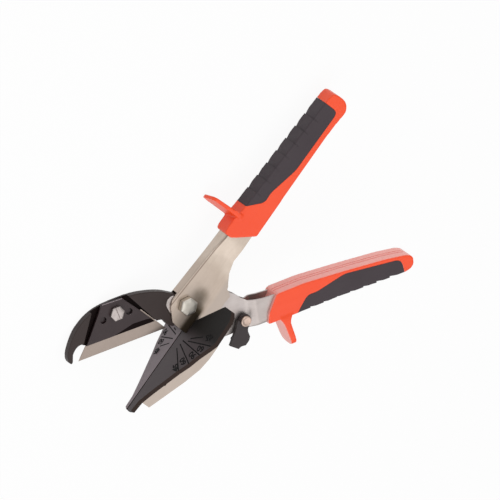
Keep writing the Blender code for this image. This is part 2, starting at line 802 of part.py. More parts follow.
def make_clamp():
    head = cover_top + GAP
    head_top = head + CLAMP_HEAD_HEIGHT
    screw = rod("clamp_screw", CLAMP_HEAD_RADIUS, head, head_top, sides=6)
    join(screw, rod("shank", CLAMP_RADIUS, -jaw_half, head + GAP))
    slot = block(
        "slot", (-CLAMP_HEAD_RADIUS - OVERRUN, CLAMP_HEAD_RADIUS + OVERRUN),
        (-CLAMP_SLOT_HALF, CLAMP_SLOT_HALF), (head_top - CLAMP_SLOT_DEPTH, head_top + OVERRUN),
    )
    cut(screw, slot)
    place = holder_points([CLAMP_SHARE])[0]
    finish(screw, "clamp_screw", bright_steel, blade_pivot, (*place, 0), CLAMP_SLOT_ANGLE)
    for name, place in zip(("locating_pin_front", "locating_pin_rear"), holder_points(LOCATOR_SHARES)):
        pin = rod(name, LOCATOR_RADIUS, -jaw_half, cover_top - LOCATOR_SINK)
        finish(pin, name, dark_steel, blade_pivot, (*place, 0))


def grown(points, distance):
    """An outline moved outwards, square to its sides, by a distance."""
    count = len(points)
    area = sum(
        points[at][0] * points[(at + 1) % count][1] - points[(at + 1) % count][0] * points[at][1]
        for at in range(count)
    )
    way = distance if area > 0 else -distance
    moved = []
    for at in range(count):
        here = Vector(points[at])
        before = (here - Vector(points[at - 1])).normalized()
        after = (Vector(points[(at + 1) % count]) - here).normalized()
        first = Vector((before.y, -before.x))
        second = Vector((after.y, -after.x))
        moved.append(tuple(here + (first + second) * way / (1 + first.dot(second))))
    return moved


def make_grip(name, outline, pad_outline, guard, socket, parent):
    """A moulded grip with its guard and socket, and the softer pad let into its back and sides."""
    grip = prism(name, outline, -grip_half, grip_half, edge=GRIP_EDGE)
    across = grip_half + OVERRUN
    pad = prism("pad", outline, -grip_half, grip_half, edge=GRIP_EDGE)
    keep(pad, prism("pad area", pad_outline, -across, across))
    cut(pad, prism(
        "bed", grown(outline, -PAD_DEPTH), -grip_half + PAD_DEPTH, grip_half - PAD_DEPTH,
        edge=GRIP_EDGE - PAD_DEPTH,
    ))
    under = PAD_DEPTH + GAP
    cut(grip, prism("pad bed", grown(pad_outline, GAP), -across, across))
    join(grip, prism(
        "core", grown(outline, -under), -grip_half + under, grip_half - under,
        edge=GRIP_EDGE - under,
    ))
    join(grip, guard)
    cut(grip, socket)
    finish(pad, name + "_pad", dark_rubber, parent)
    return finish(grip, name, orange_plastic, parent)


def guard_face(root, tip):
    """The guard seen from the jaws, in Z and Y order, with a rounded tip."""
    way = 1 if tip > root else -1
    shoulder = tip - way * GUARD_CORNER
    middle = GUARD_HALF - GUARD_CORNER
    corner = arc((shoulder, middle), GUARD_CORNER, math.pi / 2, 0, 5)
    half = [(shoulder + way * (y - shoulder), z) for y, z in corner]
    return [(root, GUARD_HALF), *half, *[(y, -z) for y, z in reversed(half)], (root, -GUARD_HALF)]


def make_grips():
    upper_start = (UPPER_FRONT, -UPPER_INNER)
    root = anvil_web(UPPER_GUARD_PLACE)
    guard = prism(
        "guard", guard_face(root, UPPER_GUARD_TOP), UPPER_GUARD_PLACE,
        UPPER_GUARD_PLACE + GUARD_THICKNESS, "X",
    )
    stations = [station for station in anvil_stations() if station[0] > ANVIL_NECK]
    upper_grip = make_grip(
        "upper_grip",
        in_sizes(UPPER_GRIP_SHARES, UPPER_LENGTH, UPPER_HEIGHT, upper_start),
        in_sizes(UPPER_PAD_SHARES, UPPER_LENGTH, UPPER_HEIGHT, upper_start),
        guard,
        core("socket", stations, anvil_socket_low, 1),
        tool,
    )
    lower_start = (LOWER_FRONT, -LOWER_OUTER)
    base = -LOWER_OUTER + grip_skin
    side = [
        (LOWER_GUARD_PLACE, base),
        (LOWER_GUARD_PLACE + GUARD_THICKNESS, -LOWER_OUTER - GUARD_THICKNESS),
        (LOWER_GUARD_PLACE + LOWER_GUARD_LEAN, -LOWER_GUARD_TOP),
        (LOWER_GUARD_PLACE + LOWER_GUARD_LEAN + GUARD_THICKNESS, -LOWER_GUARD_TOP),
        (LOWER_GUARD_PLACE + LOWER_GUARD_ROOT - GUARD_THICKNESS, -LOWER_OUTER - GUARD_THICKNESS),
        (LOWER_GUARD_PLACE + LOWER_GUARD_ROOT, base),
    ]
    guard = prism("guard", side, -GUARD_HALF - OVERRUN, GUARD_HALF + OVERRUN)
    face = guard_face(base + OVERRUN, -LOWER_GUARD_TOP)
    keep(guard, prism("guard face", face, 0, LOWER_FRONT + LOWER_LENGTH, "X"))
    stations = [station for station in blade_stations() if station[0] > BLADE_NECK]
    make_grip(
        "lower_grip",
        in_sizes(LOWER_GRIP_SHARES, LOWER_LENGTH, LOWER_HEIGHT, lower_start),
        in_sizes(LOWER_PAD_SHARES, LOWER_LENGTH, LOWER_HEIGHT, lower_start),
        guard,
        core("socket", stations, blade_tang_top, -1),
        blade_pivot,
    )
    return upper_grip


def make_latch():
    base = outside
    lever = prism(
        "latch_lever", in_sizes(LATCH_SHARES, LATCH_REACH, LATCH_REACH), base,
        base + LATCH_THICKNESS,
    )
    lug = polar(LATCH_LUG_ARM, LATCH_LOCKED + LATCH_SWING)
    join(
        lever,
        rod("eye", LATCH_EYE, base, base + LATCH_THICKNESS),
        rod("collar", LATCH_COLLAR, blade_outer + GAP, base + GAP),
        rod("lug", LATCH_LUG_RADIUS, anvil_inner, base + GAP, lug),
    )
    cut(lever, rod("bore", LATCH_RIVET_RADIUS + GAP, 0, base + LATCH_THICKNESS + OVERRUN))
    finish(lever, "latch_lever", black_plastic, latch_pivot)

    seat = base + LATCH_THICKNESS + GAP
    rivet = rod("latch_rivet", LATCH_RIVET_RADIUS, -blade_outer - GAP * 2, seat + GAP)
    far = -blade_outer - GAP
    join(
        rivet,
        turned_shape("near head", dome(LATCH_HEAD_RADIUS, seat, seat + LATCH_HEAD_HEIGHT)),
        rod("far head", LATCH_COLLAR, far - BLADE_SHEET, far),
    )
    finish(rivet, "latch_rivet", bright_steel, blade_pivot, latch_pin)


def lowest(piece, down):
    """The corner of a piece that lies farthest down."""
    corners = [piece.matrix_world @ corner.co for corner in piece.data.vertices]
    return max(corners, key=down.dot)


def lay_down(resting):
    """Turns the tool onto the three pieces that it rests on, and stands it on its origin."""
    bpy.context.view_layer.update()
    down = Vector((0, math.sin(REST_LEAN), -math.cos(REST_LEAN)))
    for _ in range(REST_TURNS):
        first, second, third = [lowest(piece, down) for piece in resting]
        down = (second - first).cross(third - first).normalized()
        if down.z > 0:
            down.negate()
    tool.rotation_mode = "QUATERNION"
    tool.rotation_quaternion = down.rotation_difference(Vector((0, 0, -1)))
    bpy.context.view_layer.update()
    corners = [
        piece.matrix_world @ corner.co
        for piece in parts.objects
        if piece.type == "MESH"
        for corner in piece.data.vertices
    ]
    lows = [min(corner[axis] for corner in corners) for axis in range(3)]
    highs = [max(corner[axis] for corner in corners) for axis in range(3)]
    tool.location = (-(lows[0] + highs[0]) / 2, -(lows[1] + highs[1]) / 2, -lows[2])
    bpy.context.view_layer.update()


clear_scene()
parts = new_collection("mitre_shears")

steel = new_material("lever_steel", (0.78, 0.74, 0.71), 0.35, 0.9)
bright_steel = new_material("bright_steel", (0.75, 0.72, 0.70), 0.25, 1.0)
blade_steel = new_material("blade_steel", (0.64, 0.60, 0.58), 0.25, 1.0)
spring_steel = new_material("spring_steel", (0.40, 0.39, 0.40), 0.40, 1.0)
dark_steel = new_material("dark_steel", (0.27, 0.24, 0.24), 0.45, 0.4)
black_casting = new_material("black_casting", (0.25, 0.23, 0.23), 0.50, 0.3)
black_plastic = new_material("black_plastic", (0.32, 0.31, 0.31), 0.55, 0.0)
orange_plastic = new_material("orange_plastic", (0.98, 0.40, 0.25), 0.40, 0.0)
dark_rubber = new_material("dark_rubber", (0.30, 0.26, 0.28), 0.70, 0.0)

# The anvil lever's web ends where the casting's shoulder stops against it
shoulder = turned_about_pivot(in_sizes([HOLDER_SHARES[1]], HOLDER_LENGTH, HOLDER_RISE)[0], -OPEN_ANGLE)
web_start = shoulder[0] + STOP_CLEARANCE

tool = new_empty("bench_rest")
blade_pivot = new_empty("blade_pivot", tool, turn=-OPEN_ANGLE)
latch_pivot = new_empty("latch_pivot", blade_pivot, latch_pin)

make_anvil_lever()
mitre_table = make_mitre_table()
make_anvil_bar()
make_table_pins()
make_pivot()
make_opening_spring()
make_blade_lever()
make_holder_rivets()
blade_holder = make_blade_holder()
make_blade()
make_blade_cover()
make_clamp()
upper_grip = make_grips()
make_latch()
lay_down((mitre_table, blade_holder, upper_grip))
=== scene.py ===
"""The look of the mitre shears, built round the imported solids.

The tool's own frame has its origin on the pivot. X runs to the end of the anvil lever's grip, Y
points from the mitre table to the blade, and Z is the pivot's axis. Pieces of the blade lever are
drawn closed, in a frame that is turned open about the pivot. Each group of sizes says whether it is
in metres or in millimetres. A facing is the cosine between the way a face looks and another way.
"""

import json
import math

import bmesh
import bpy
from mathutils import Matrix, Vector
from mathutils.geometry import intersect_point_line


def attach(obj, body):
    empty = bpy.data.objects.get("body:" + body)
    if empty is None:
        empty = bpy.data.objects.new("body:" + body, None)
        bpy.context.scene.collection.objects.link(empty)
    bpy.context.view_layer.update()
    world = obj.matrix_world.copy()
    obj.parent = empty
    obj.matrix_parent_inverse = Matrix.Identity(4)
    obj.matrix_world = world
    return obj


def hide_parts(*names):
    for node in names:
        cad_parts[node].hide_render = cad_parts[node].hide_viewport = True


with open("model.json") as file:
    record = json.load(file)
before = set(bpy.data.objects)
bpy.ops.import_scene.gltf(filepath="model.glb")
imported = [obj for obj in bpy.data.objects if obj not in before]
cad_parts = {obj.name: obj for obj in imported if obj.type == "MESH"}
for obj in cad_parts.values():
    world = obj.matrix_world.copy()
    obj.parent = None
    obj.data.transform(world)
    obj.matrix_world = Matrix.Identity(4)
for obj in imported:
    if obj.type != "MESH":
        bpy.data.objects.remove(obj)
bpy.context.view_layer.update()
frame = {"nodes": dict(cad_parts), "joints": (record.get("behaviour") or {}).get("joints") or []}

# What the pieces share. Lengths are in metres
MM = 0.001
WELD = 0.000002
OPEN_ANGLE = math.radians(39.4)
LATCH_PIN = Vector((0.0372, -0.0245, 0))
FLAT_ANGLE = math.radians(1)
SHARP_ANGLE = math.radians(32)
CORNER_SHARE = 0.48
RELAX_FACTOR = 0.5
FACING_WEIGHT = 100
DISC_SIDES = 64

# How far the pieces' sharp edges are rounded, in metres
PLATE_EDGE = 0.00022
NUT_EDGE = 0.00025
WASHER_EDGE = 0.00015
LATCH_EDGE = 0.0004
TABLE_EDGE = 0.00016
COVER_EDGE = 0.00035

# The table's roof, marks and digits. Lengths are in metres
ROOF_SLOPE = math.radians(10)
ROOF_RISE = math.tan(ROOF_SLOPE)
SIDE_FACING = 0.5
TABLE_DROP = 0.0111
MARK_WIDTH = 0.0008
MARK_DEPTH = 0.0004
DIGIT_SIZE = 0.0056
DIGIT_WEIGHT = 0.0002
DIGIT_CURVE = 3

# The table's slot, marks and digits, in millimetres. Each wing has its side, its marks' two ends, and
# its digits' text, place and turn in degrees
MARK_OVERRUN = 1
SLOT_LIP = ((-11.172, 0.4), (-11.24, 0.78), (-12.5, 0.78), (-12.5, 0.4))
SLOT_RUN = (-75.5, -14)
WINGS = (
    (1, (
        ((-25.9, 5.1), (-37.2, 18.0)), ((-22.6, 5.4), (-29.5, 21.6)), ((-19.8, 5.6), (-21.1, 25.2)),
        ((-18.2, 9.5), (-12.4, 28.6)), ((-16.0, 10.2), (-10.5, 18.4)),
    ), (
        ("45", (-36.3, 14.3), 49), ("60", (-30.4, 16.3), 67), ("90", (-23.7, 19.9), 86),
        ("60", (-17.4, 22.5), 107), ("45", (-8.5, 22.9), 123),
    )),
    (-1, (
        ((-26.2, -4.7), (-31.1, -13.3)), ((-22.5, -4.3), (-25.9, -19.8)),
        ((-19.2, -4.2), (-17.2, -21.1)), ((-17.0, -7.8), (-16.4, -12.1)),
    ), (
        ("45", (-34.8, -13.5), 119), ("60", (-28.3, -16.2), 102), ("90", (-21.6, -19.0), 83),
    )),
)

# Handles, in millimetres. The rib's wrap has places in from a handle's back and shares of its depth,
# and the painted sheen starts at one facing and is full a span further on
GRIP_HALF = 7.45
GRIP_CELL = 0.45
GRIP_PASSES = 7
SECTION_INNER = -20
SECTION_OUTER = 14
SECTION_RUN = (-60, 160)
SEAM = 0.15
PAD_CORNER = 3
PAD_SPAN = (-12, 12)
RIB_DEPTH = 0.65
RIB_TOP = 0.5
RIB_LEAD = 0.35
RIB_RAMP = 6.0
RIB_CORNER = 1.1
RIB_COUNT = 7
RIB_WRAP = ((-4.4, 0.0), (-3.0, 0.45), (-1.6, 0.75), (-0.5, 0.9))
PAINTED_SHEEN_START = 0.5
PAINTED_SHEEN_SPAN = 0.4

# Upper handle, in millimetres. Its ribs have half their width at the back and its slope, and its fin
# loses a millimetre over the taper's run
UPPER_CORNER = 4
UPPER_RIDGE = ((50, 0.4), -0.043, 1, 2.2)
UPPER_RIBS = (6.15, 0.157)
UPPER_RIB_ROW = ((83.6, 7.55), (142.6, 4.35))
UPPER_FIN_CORNER = 4
UPPER_FIN_PLACE = 62.5
UPPER_FIN_ROOT = 4
UPPER_FIN_TILT = 0.02
UPPER_FIN_LEAN = 0.194
UPPER_FIN_THICKNESS = 3.3
UPPER_FIN_TAPER_RUN = 28
UPPER_OUTLINE = (
    (61.1, -11.5), (60.0, -9.8), (52.0, 2.4), (50.9, 4.1), (51.0, 6.0), (51.2, 9.0), (54.1, 9.7),
    (62.0, 9.7), (70.0, 8.3), (154.5, 3.8), (161.9, 2.9), (164.0, 0.9), (164.0, -6.3),
    (162.1, -10.1), (158.6, -12.4), (156.2, -12.5), (149.2, -11.7), (140.3, -11.2), (93.8, -11.2),
    (63.1, -11.5),
)
UPPER_PAD = (
    (70.0, 11.9), (73.4, 7.5), (77.6, 3.2), (81.9, -1.3), (88.8, -0.7), (109.7, -6.5),
    (152.8, -7.1), (155.1, -5.3), (155.6, 11.9),
)
UPPER_FIN = ((-7.2, 4.0), (-7.2, 31.8), (7.2, 31.8), (7.2, 4.0))

# Lower handle, in millimetres
LOWER_CORNER = 2.2
LOWER_RIDGE = ((50, -23), 0, -1, 1.1)
LOWER_RIBS = (6.66, 0.079)
LOWER_RIB_ROW = ((83.4, -32.7), (141.7, -32.8))
LOWER_OUTLINE = (
    (52.3, -33.1), (53.8, -25.9), (61.6, -13.8), (81.9, -13.5), (111.2, -15.8), (140.4, -18.6),
    (154.8, -20.9), (158.4, -22.5), (160.3, -25.2), (159.8, -29.8), (157.1, -32.1), (154.0, -33.0),
    (132.0, -32.9), (104.0, -32.3), (80.0, -32.8),
)
LOWER_PAD = (
    (72.8, -35.0), (75.6, -30.5), (82.5, -22.5), (88.7, -22.9), (110.4, -17.9), (149.2, -22.5),
    (151.6, -25.6), (152.6, -35.0),
)
LOWER_FIN = ((-7.9, -28.0), (-7.9, -53.9), (7.9, -53.9), (7.9, -28.0))
LOWER_FIN_CORNER = 7
LOWER_FIN_RUN = (40, 90)
LOWER_FIN_SPAN = (-8, 8)
LOWER_FIN_SIDE_CORNER = 2
PARTING_LINES = (-1.3, 1.3)
PARTING_HALF = 0.25
PARTING_RUN = (
    (61.0, -11.0), (61.0, -14.3), (81.9, -14.0), (111.2, -16.3), (140.4, -19.1), (156.0, -21.6),
    (156.0, -15.0), (140.0, -12.0),
)
LOWER_FIN_SIDE = (
    (60.1, -30.8), (62.9, -36.2), (66.8, -55.0), (70.6, -55.0), (67.7, -36.2), (70.6, -30.8),
)

# Jaw casting, in millimetres
CASTING_SPAN = (-2.48, 2.48)
CASTING_CORNER = 3.5
CASTING_CELL = 0.35
CASTING_PASSES = 7
CASTING_RIM = 0.9
SPRING_ROOM = ((-5.4, -9.0), (-3.8, -9.0), (-3.8, -4.2), (-5.4, -4.2))
SPRING_ROOM_SPAN = (0.2, 1.35)
CASTING_OUTLINE = (
    (-2.6, 4.1), (-4.7, 8.9), (-7.9, 10.7), (-14.0, 14.4), (-21.3, 17.2), (-31.6, 19.7),
    (-40.7, 20.5), (-55.8, 20.2), (-63.9, 18.7), (-71.0, 15.4), (-78.1, 9.9), (-82.5, 3.7),
    (-85.5, -2.1), (-86.5, -5.2), (-86.5, -9.1), (-84.7, -11.3), (-83.3, -10.2), (-82.6, -5.0),
    (-79.9, -1.9), (-78.1, -0.8), (-75.5, -0.3), (-73.8, -1.7), (-72.4, -3.6), (-22.7, -3.7),
    (-18.9, -3.8), (-17.6, -4.6), (-16.0, -6.7), (-15.1, -9.2), (-9.7, -12.4), (-2.6, -3.4),
)

# Cover plate, in millimetres
# Where the cover's upper edges carry a painted highlight: a way, a least facing and a range of tilts
HIGHLIGHT_WAY = (0.35, 0.94, 0)
HIGHLIGHT_FACING = 0.25
HIGHLIGHT_TILT = (0.5, 0.97)
WEDGE_SPAN = (1.9, 4)
DIMPLE_RADIUS = 2.25
DIMPLE_SPAN = (-2, 4)
PIN_RADIUS = 2.15
PIN_SPAN = (-2.3, 0.7)
COVER_WEDGE = (
    (-52.5, -2.9), (-45.0, -1.2), (-38.0, 0.5), (-28.4, 0.1), (-24.5, -0.7), (-20, -3.5), (-20, -6),
    (-52.5, -6),
)
DIMPLES = (("locating_pin_front", (-57.8, 10.3)), ("locating_pin_rear", (-39.4, 10.0)))

# Blade, in millimetres: its edge's two ends, its height, how far each end slants, and from its edge
# to its back the place of each level and half the thickness there
BLADE_ENDS = (-78.7, -15.3)
BLADE_HEIGHT = 19
BLADE_SLANT = 14.7
BLADE_LEVELS = ((-12, 0.02), (-11.6, 0.09), (-8.9, 0.3), (7, 0.3))

# Pivot bolt's head, in millimetres. A layer has a height and a scale, and a round space or shank
# has its radius, foot and top
HEAD_SIDES = 6
HEAD_CORNER = 0.5
HEAD_STEPS = 4
BOLT_RADIUS = 6.4
BOLT_TURN = math.radians(27)
BOLT_SPACE = (9, 4.2, 12)
BOLT_LAYERS = (
    (4.2, 0.98), (4.35, 1), (6.9, 1), (7.35, 0.98), (7.7, 0.93), (7.9, 0.84), (8.02, 0.7),
    (8.1, 0.45), (8.12, 0.15),
)

# Clamp screw, in millimetres
SCREW_PLACE = (-47.9, 11.9, 0)
SCREW_RADIUS = 5.2
SCREW_TURN = math.radians(1.5)
SCREW_LAYERS = (
    (2.3, 0.98), (2.4, 1), (3.9, 1), (4.15, 0.97), (4.33, 0.9), (4.45, 0.75), (4.52, 0.5),
    (4.53, 0.2),
)
SHANK = (2.0, -2.4, 3)
SCREW_SLOT = ((-6, -0.3), (6, -0.3), (6, 0.3), (-6, 0.3))
SCREW_SLOT_TURN = math.radians(101.5)
SCREW_SLOT_SPAN = (3.7, 6)

# Latch rivet, in millimetres
RIVET_RADIUS = 3.6
RIVET_LAYERS = (
    (-3.95, 0.78), (-3.8, 0.83), (-2.75, 0.83), (-2.75, 0.52), (6.65, 0.52), (6.65, 1), (7.3, 1),
    (7.75, 0.96), (7.98, 0.87), (7.98, 0.78), (7.75, 0.68), (7.72, 0.3),
)

# Patterns of the finishes. A noise has its scale for each metre, its detail and its roughness, and a
# bump its strength and its depth in metres. A stretch has a scale for each way, and its lines have 1.
# Patches have the places and the levels of a ramp. Shares say how much each pattern counts in a shade,
# in the roughness or in a bump
SHEET_CLOUDS = (55, 4, 0.6)
SHEET_STRETCH = (60, 900, 900)
SHEET_LINES = (1.0, 2)
SHEET_GRAIN = (2600, 2)
SHEET_BUMP = (0.25, 0.00003)
SHEET_PATCHES = ((0.35, 0), (0.7, 1))
SHEET_SHADE_SHARES = (0.65, 0.35)
SHEET_ROUGH_SHARES = (0.16, 0.08)
SHEET_BUMP_SHARES = (0.7, 0.3)
MOULD_CLOUDS = (40, 3)
MOULD_GRAIN = (1500, 2, 0.6)
MOULD_BUMP = (0.3, 0.00004)
MOULD_ROUGH_SHARES = (0.12, 0.1)
GRIP_GRAIN = (1200, 2, 0.6)
GRIP_BUMP = (0.3, 0.00003)
PAD_GRAIN = (1800, 2, 0.6)
PAD_BUMP = (0.3, 0.00006)
CAST_CLOUDS = (70, 3)
CAST_PEEL = (900, 3, 0.55)
CAST_BUMP = (0.35, 0.00006)
CAST_ROUGH_SHARE = 0.15
FASTENER_STAIN = (300, 3)
FASTENER_GRAIN = (3000, 2)
FASTENER_BUMP = (0.2, 0.00002)
FASTENER_ROUGH_SHARE = 0.15
BLADE_STRETCH = (4000, 120, 120)
BLADE_LINES = (1.0, 3)
BLADE_CLOUDS = (90, 3)
BLADE_BUMP = (0.2, 0.00003)
BLADE_SHADE_SHARES = (0.6, 0.4)
BLADE_ROUGH_SHARE = 0.15
BOLT_SHADE_NOISE = (320, 3)

# Where the anvil lever's plate has painted shade and dark reflections and where its tone changes, in
# millimetres. A round shade has its centre, its edge's and its full part's radius and its strength,
# and a fall is a slope. A pair says where a mark begins and where it is full
# Painted shade and dark reflections round the bolt and on the plate's tip
SHADE_BESIDE_BOLT = ((9.5, -4.5, 4.2), 8.0, 2.0, 0.5)
SHADE_BELOW_BOLT = ((1.5, -9.0, 4.2), 6.0, 2.0, 0.8)
BOLT_SHADE_SWING = 0.9
BOLT_SHADE_LEAST = 0.45
TIP_SHADE_TOP = (-4.8, -8.4)
TIP_SHADE_FOOT = (-13.0, -11.5)
TIP_SHADE_BACK = (3.5, -2.5)
TIP_SHADE_FALL = 0.05
JAW_TONE_RUN = (-13.0, -16.5)
ARM_TONE_RUN = (33.0, 24.0)
ARM_TONE_STRENGTH = 0.5
BEND_FALL = 0.0699
BEND_FOOT = (8.75, 9.35)
BEND_TOP = (10.2, 9.6)
BEND_STRENGTH = 0.75

# Where the table's finish changes, in millimetres, with painted light on its far wing and painted
# shade on its sides and rear, and how much rougher its sides and its rear are
FAR_WING = (0.3, -0.3)
WING_TOP = (-0.6, -0.15)
WING_FRONT = (-7, -20)
TABLE_ROUGHNESS = 0.32
SIDE_DULLNESS = 0.2
REAR_DULLNESS = 0.15

# Tones of the anvil lever, the table and the grips' painted sheen, in sRGB steps, with painted shade,
# reflection and light among them
BOLT_SHADE_TONE = (104, 92, 74)
TIP_SHADE_TONE = (80, 70, 58)
JAW_TONE = (172, 162, 154)
ARM_TONE = (176, 160, 148)
BEND_REFLECTION_TONE = (120, 104, 94)
TABLE_TOP = (77, 69, 71)
TABLE_TOP_CLOUDS = (70, 62, 64)
TABLE_FAR_LIT = (116, 102, 107)
TABLE_REAR_SHADE = (17, 12, 11)
TABLE_SIDE_SHADE = (20, 14, 12)
GRIP_PAINTED_SHEEN = (255, 174, 164)

# Axes of an outline that is drawn in Y and Z and runs along X
ALONG_X = Matrix(((0, 0, 1, 0), (1, 0, 0, 0), (0, 1, 0, 0), (0, 0, 0, 1)))

# Camera, light and floor, in metres, but the lens and the sensor in millimetres. A soft box has its
# place, its size and its power in watts, and the view is in the tool's own frame
FLOOR_HALF = 4.0
FLOOR_GLOW = 0.93
FLOOR_TONE = (0.8, 0.8, 0.8, 1)
KEY_SOFTBOX = ((-0.5, 0.1, 1.1), 1.8, 9.2)
FILL_SOFTBOX = ((0.7, 0.9, 0.7), 0.8, 2.5)
WORLD_GLOW = 0.6
VIEW_RIGHT = Vector((0.577, -0.671, 0.471))
VIEW_UP = Vector((0.818, 0.4715, -0.331))
VIEW_CENTRE = Vector((0.0517, -0.0182, 0))
VIEW_DISTANCE = 8.82
LENS = 1000
SENSOR = 36


def joint_named(name):
    return next(joint for joint in frame["joints"] if joint["name"] == name)


def tool_frame():
    """The tool's own frame, from where the two joints lie."""
    pivot = joint_named("jaw_pivot")
    origin = Vector(pivot["pos_m"])
    axis = Vector(pivot["axis"]).normalized()
    reach = Vector(joint_named("latch_pivot")["pos_m"]) - origin
    reach -= axis * reach.dot(axis)
    swing = OPEN_ANGLE - math.atan2(LATCH_PIN.y, LATCH_PIN.x)
    along = Matrix.Rotation(swing, 3, axis) @ reach.normalized()
    turned = Matrix((along, axis.cross(along), axis)).transposed().to_4x4()
    return Matrix.Translation(origin) @ turned


TOOL = tool_frame()
CLOSED = TOOL @ Matrix.Rotation(-OPEN_ANGLE, 4, "Z")


# Finishes. A finish's roughness is its least, and its patterns add to it


class Value:
    """A node's output. Sums on it add Math nodes to its material."""

    def __init__(self, finish, socket):
        self.finish = finish
        self.socket = socket

    def sum(self, operation, first, second):
        return self.finish.node("ShaderNodeMath", {"operation": operation}, {0: first, 1: second})

    def __add__(self, other):
        return self.sum("ADD", self, other)

    def __sub__(self, other):
        return self.sum("SUBTRACT", self, other)

    def __rsub__(self, other):
        return self.sum("SUBTRACT", other, self)

    def __mul__(self, other):
        return self.sum("MULTIPLY", self, other)

    def __truediv__(self, other):
        return self.sum("DIVIDE", self, other)

    def __rtruediv__(self, other):
        return self.sum("DIVIDE", other, self)

    __radd__ = __add__
    __rmul__ = __mul__


class Finish:
    """One procedural material, with its Principled surface."""

    def __init__(self, name, **constants):
        self.material = bpy.data.materials.new(name)
        self.material.use_nodes = True
        self.tree = self.material.node_tree
        self.surface = self.tree.nodes["Principled BSDF"]
        self.set(**constants)

    def feed(self, socket, value):
        if isinstance(value, Value):
            self.tree.links.new(value.socket, socket)
        else:
            socket.default_value = value

    def set(self, **values):
        """Sets or links sockets of the surface, such as Base_Color."""
        for name, value in values.items():
            self.feed(self.surface.inputs[name.replace("_", " ")], value)

    def base(self):
        """The colour that feeds the surface so far."""
        return Value(self, self.surface.inputs["Base Color"].links[0].from_socket)

    def node(self, kind, settings=None, inputs=None, output=0):
        """One node of any kind, and one of its outputs."""
        made = self.tree.nodes.new(kind)
        for name, value in (settings or {}).items():
            if name == "stops":
                self.ramp_stops(made.color_ramp.elements, value)
            else:
                setattr(made, name, value)
        for key, value in (inputs or {}).items():
            self.feed(made.inputs[key], value)
        return Value(self, made.outputs[output])

    def ramp_stops(self, elements, stops):
        while len(elements) < len(stops):
            elements.new(1)
        for element, (place, level) in zip(elements, stops):
            element.position = place
            element.color = (level, level, level, 1)

    def place(self, run=Matrix.Identity(4)):
        """Object coordinates in a frame's own axes, so that a pattern runs along the tool."""
        turned = run.inverted()
        spot = self.node("ShaderNodeTexCoord", output="Object")
        return self.node("ShaderNodeMapping", {}, {
            "Vector": spot, "Location": turned.translation, "Rotation": turned.to_euler(),
        })

    def stretched(self, spot, *factors):
        return self.node("ShaderNodeVectorMath", {"operation": "MULTIPLY"}, {0: spot, 1: factors})

    def along(self, spot, axis):
        """One coordinate of a place, in millimetres."""
        return self.node("ShaderNodeSeparateXYZ", {}, {0: spot}, axis) / MM

    def from_point(self, spot, *point):
        """The distance in millimetres from a point given in millimetres."""
        centre = Vector(point) * MM
        inputs = {0: spot, 1: centre}
        gap = self.node("ShaderNodeVectorMath", {"operation": "DISTANCE"}, inputs, "Value")
        return gap / MM

    def step(self, value, low, high):
        """Runs from 0 to 1 as a value runs from low to high."""
        return self.node("ShaderNodeMapRange", {"interpolation_type": "SMOOTHSTEP"}, {
            "Value": value, "From Min": low, "From Max": high,
        })

    def noise(self, where, scale, detail=3.0, roughness=0.5):
        return self.node("ShaderNodeTexNoise", {}, {
            "Vector": where, "Scale": scale, "Detail": detail, "Roughness": roughness,
        })

    def ramp(self, value, *stops):
        return self.node("ShaderNodeValToRGB", {"stops": stops}, {"Fac": value})

    def mix(self, share, first, second):
        """A colour between two colours, which are the node's sockets 6 and 7 and its output 2."""
        return self.node(
            "ShaderNodeMix", {"data_type": "RGBA", "clamp_factor": True},
            {0: share, 6: first, 7: second}, 2,
        )

    def bump(self, height, strength, distance):
        return self.node("ShaderNodeBump", {}, {
            "Height": height, "Strength": strength, "Distance": distance,
        })


def colour(red, green, blue):
    """A linear colour from sRGB steps of 0 to 255."""
    return (*[(channel / 255) ** 2.2 for channel in (red, green, blue)], 1)


def blend(shares, *patterns):
    """Patterns added up, each times its share."""
    return sum(pattern * share for pattern, share in zip(patterns, shares))


def plated_steel(name, light, dark, run, roughness):
    """Zinc-plated sheet: soft cloudy patches, a fine grain, faint rolling lines along the sheet."""
    steel = Finish(name, Metallic=1.0)
    spot = steel.place(run)
    clouds = steel.noise(spot, *SHEET_CLOUDS)
    lines = steel.noise(steel.stretched(spot, *SHEET_STRETCH), *SHEET_LINES)
    grain = steel.noise(spot, *SHEET_GRAIN)
    patches = steel.ramp(clouds, *SHEET_PATCHES)
    steel.set(
        Base_Color=steel.mix(blend(SHEET_SHADE_SHARES, patches, lines), light, dark),
        Roughness=blend(SHEET_ROUGH_SHARES, clouds, lines) + roughness,
        Normal=steel.bump(blend(SHEET_BUMP_SHARES, grain, lines), *SHEET_BUMP),
    )
    return steel


def painted_round_shade(finish, spot, centre, edge, full, strength):
    """A round patch of painted shade, from nothing at its edge to its full strength near its centre.
    """
    return finish.step(finish.from_point(spot, *centre), edge, full) * strength


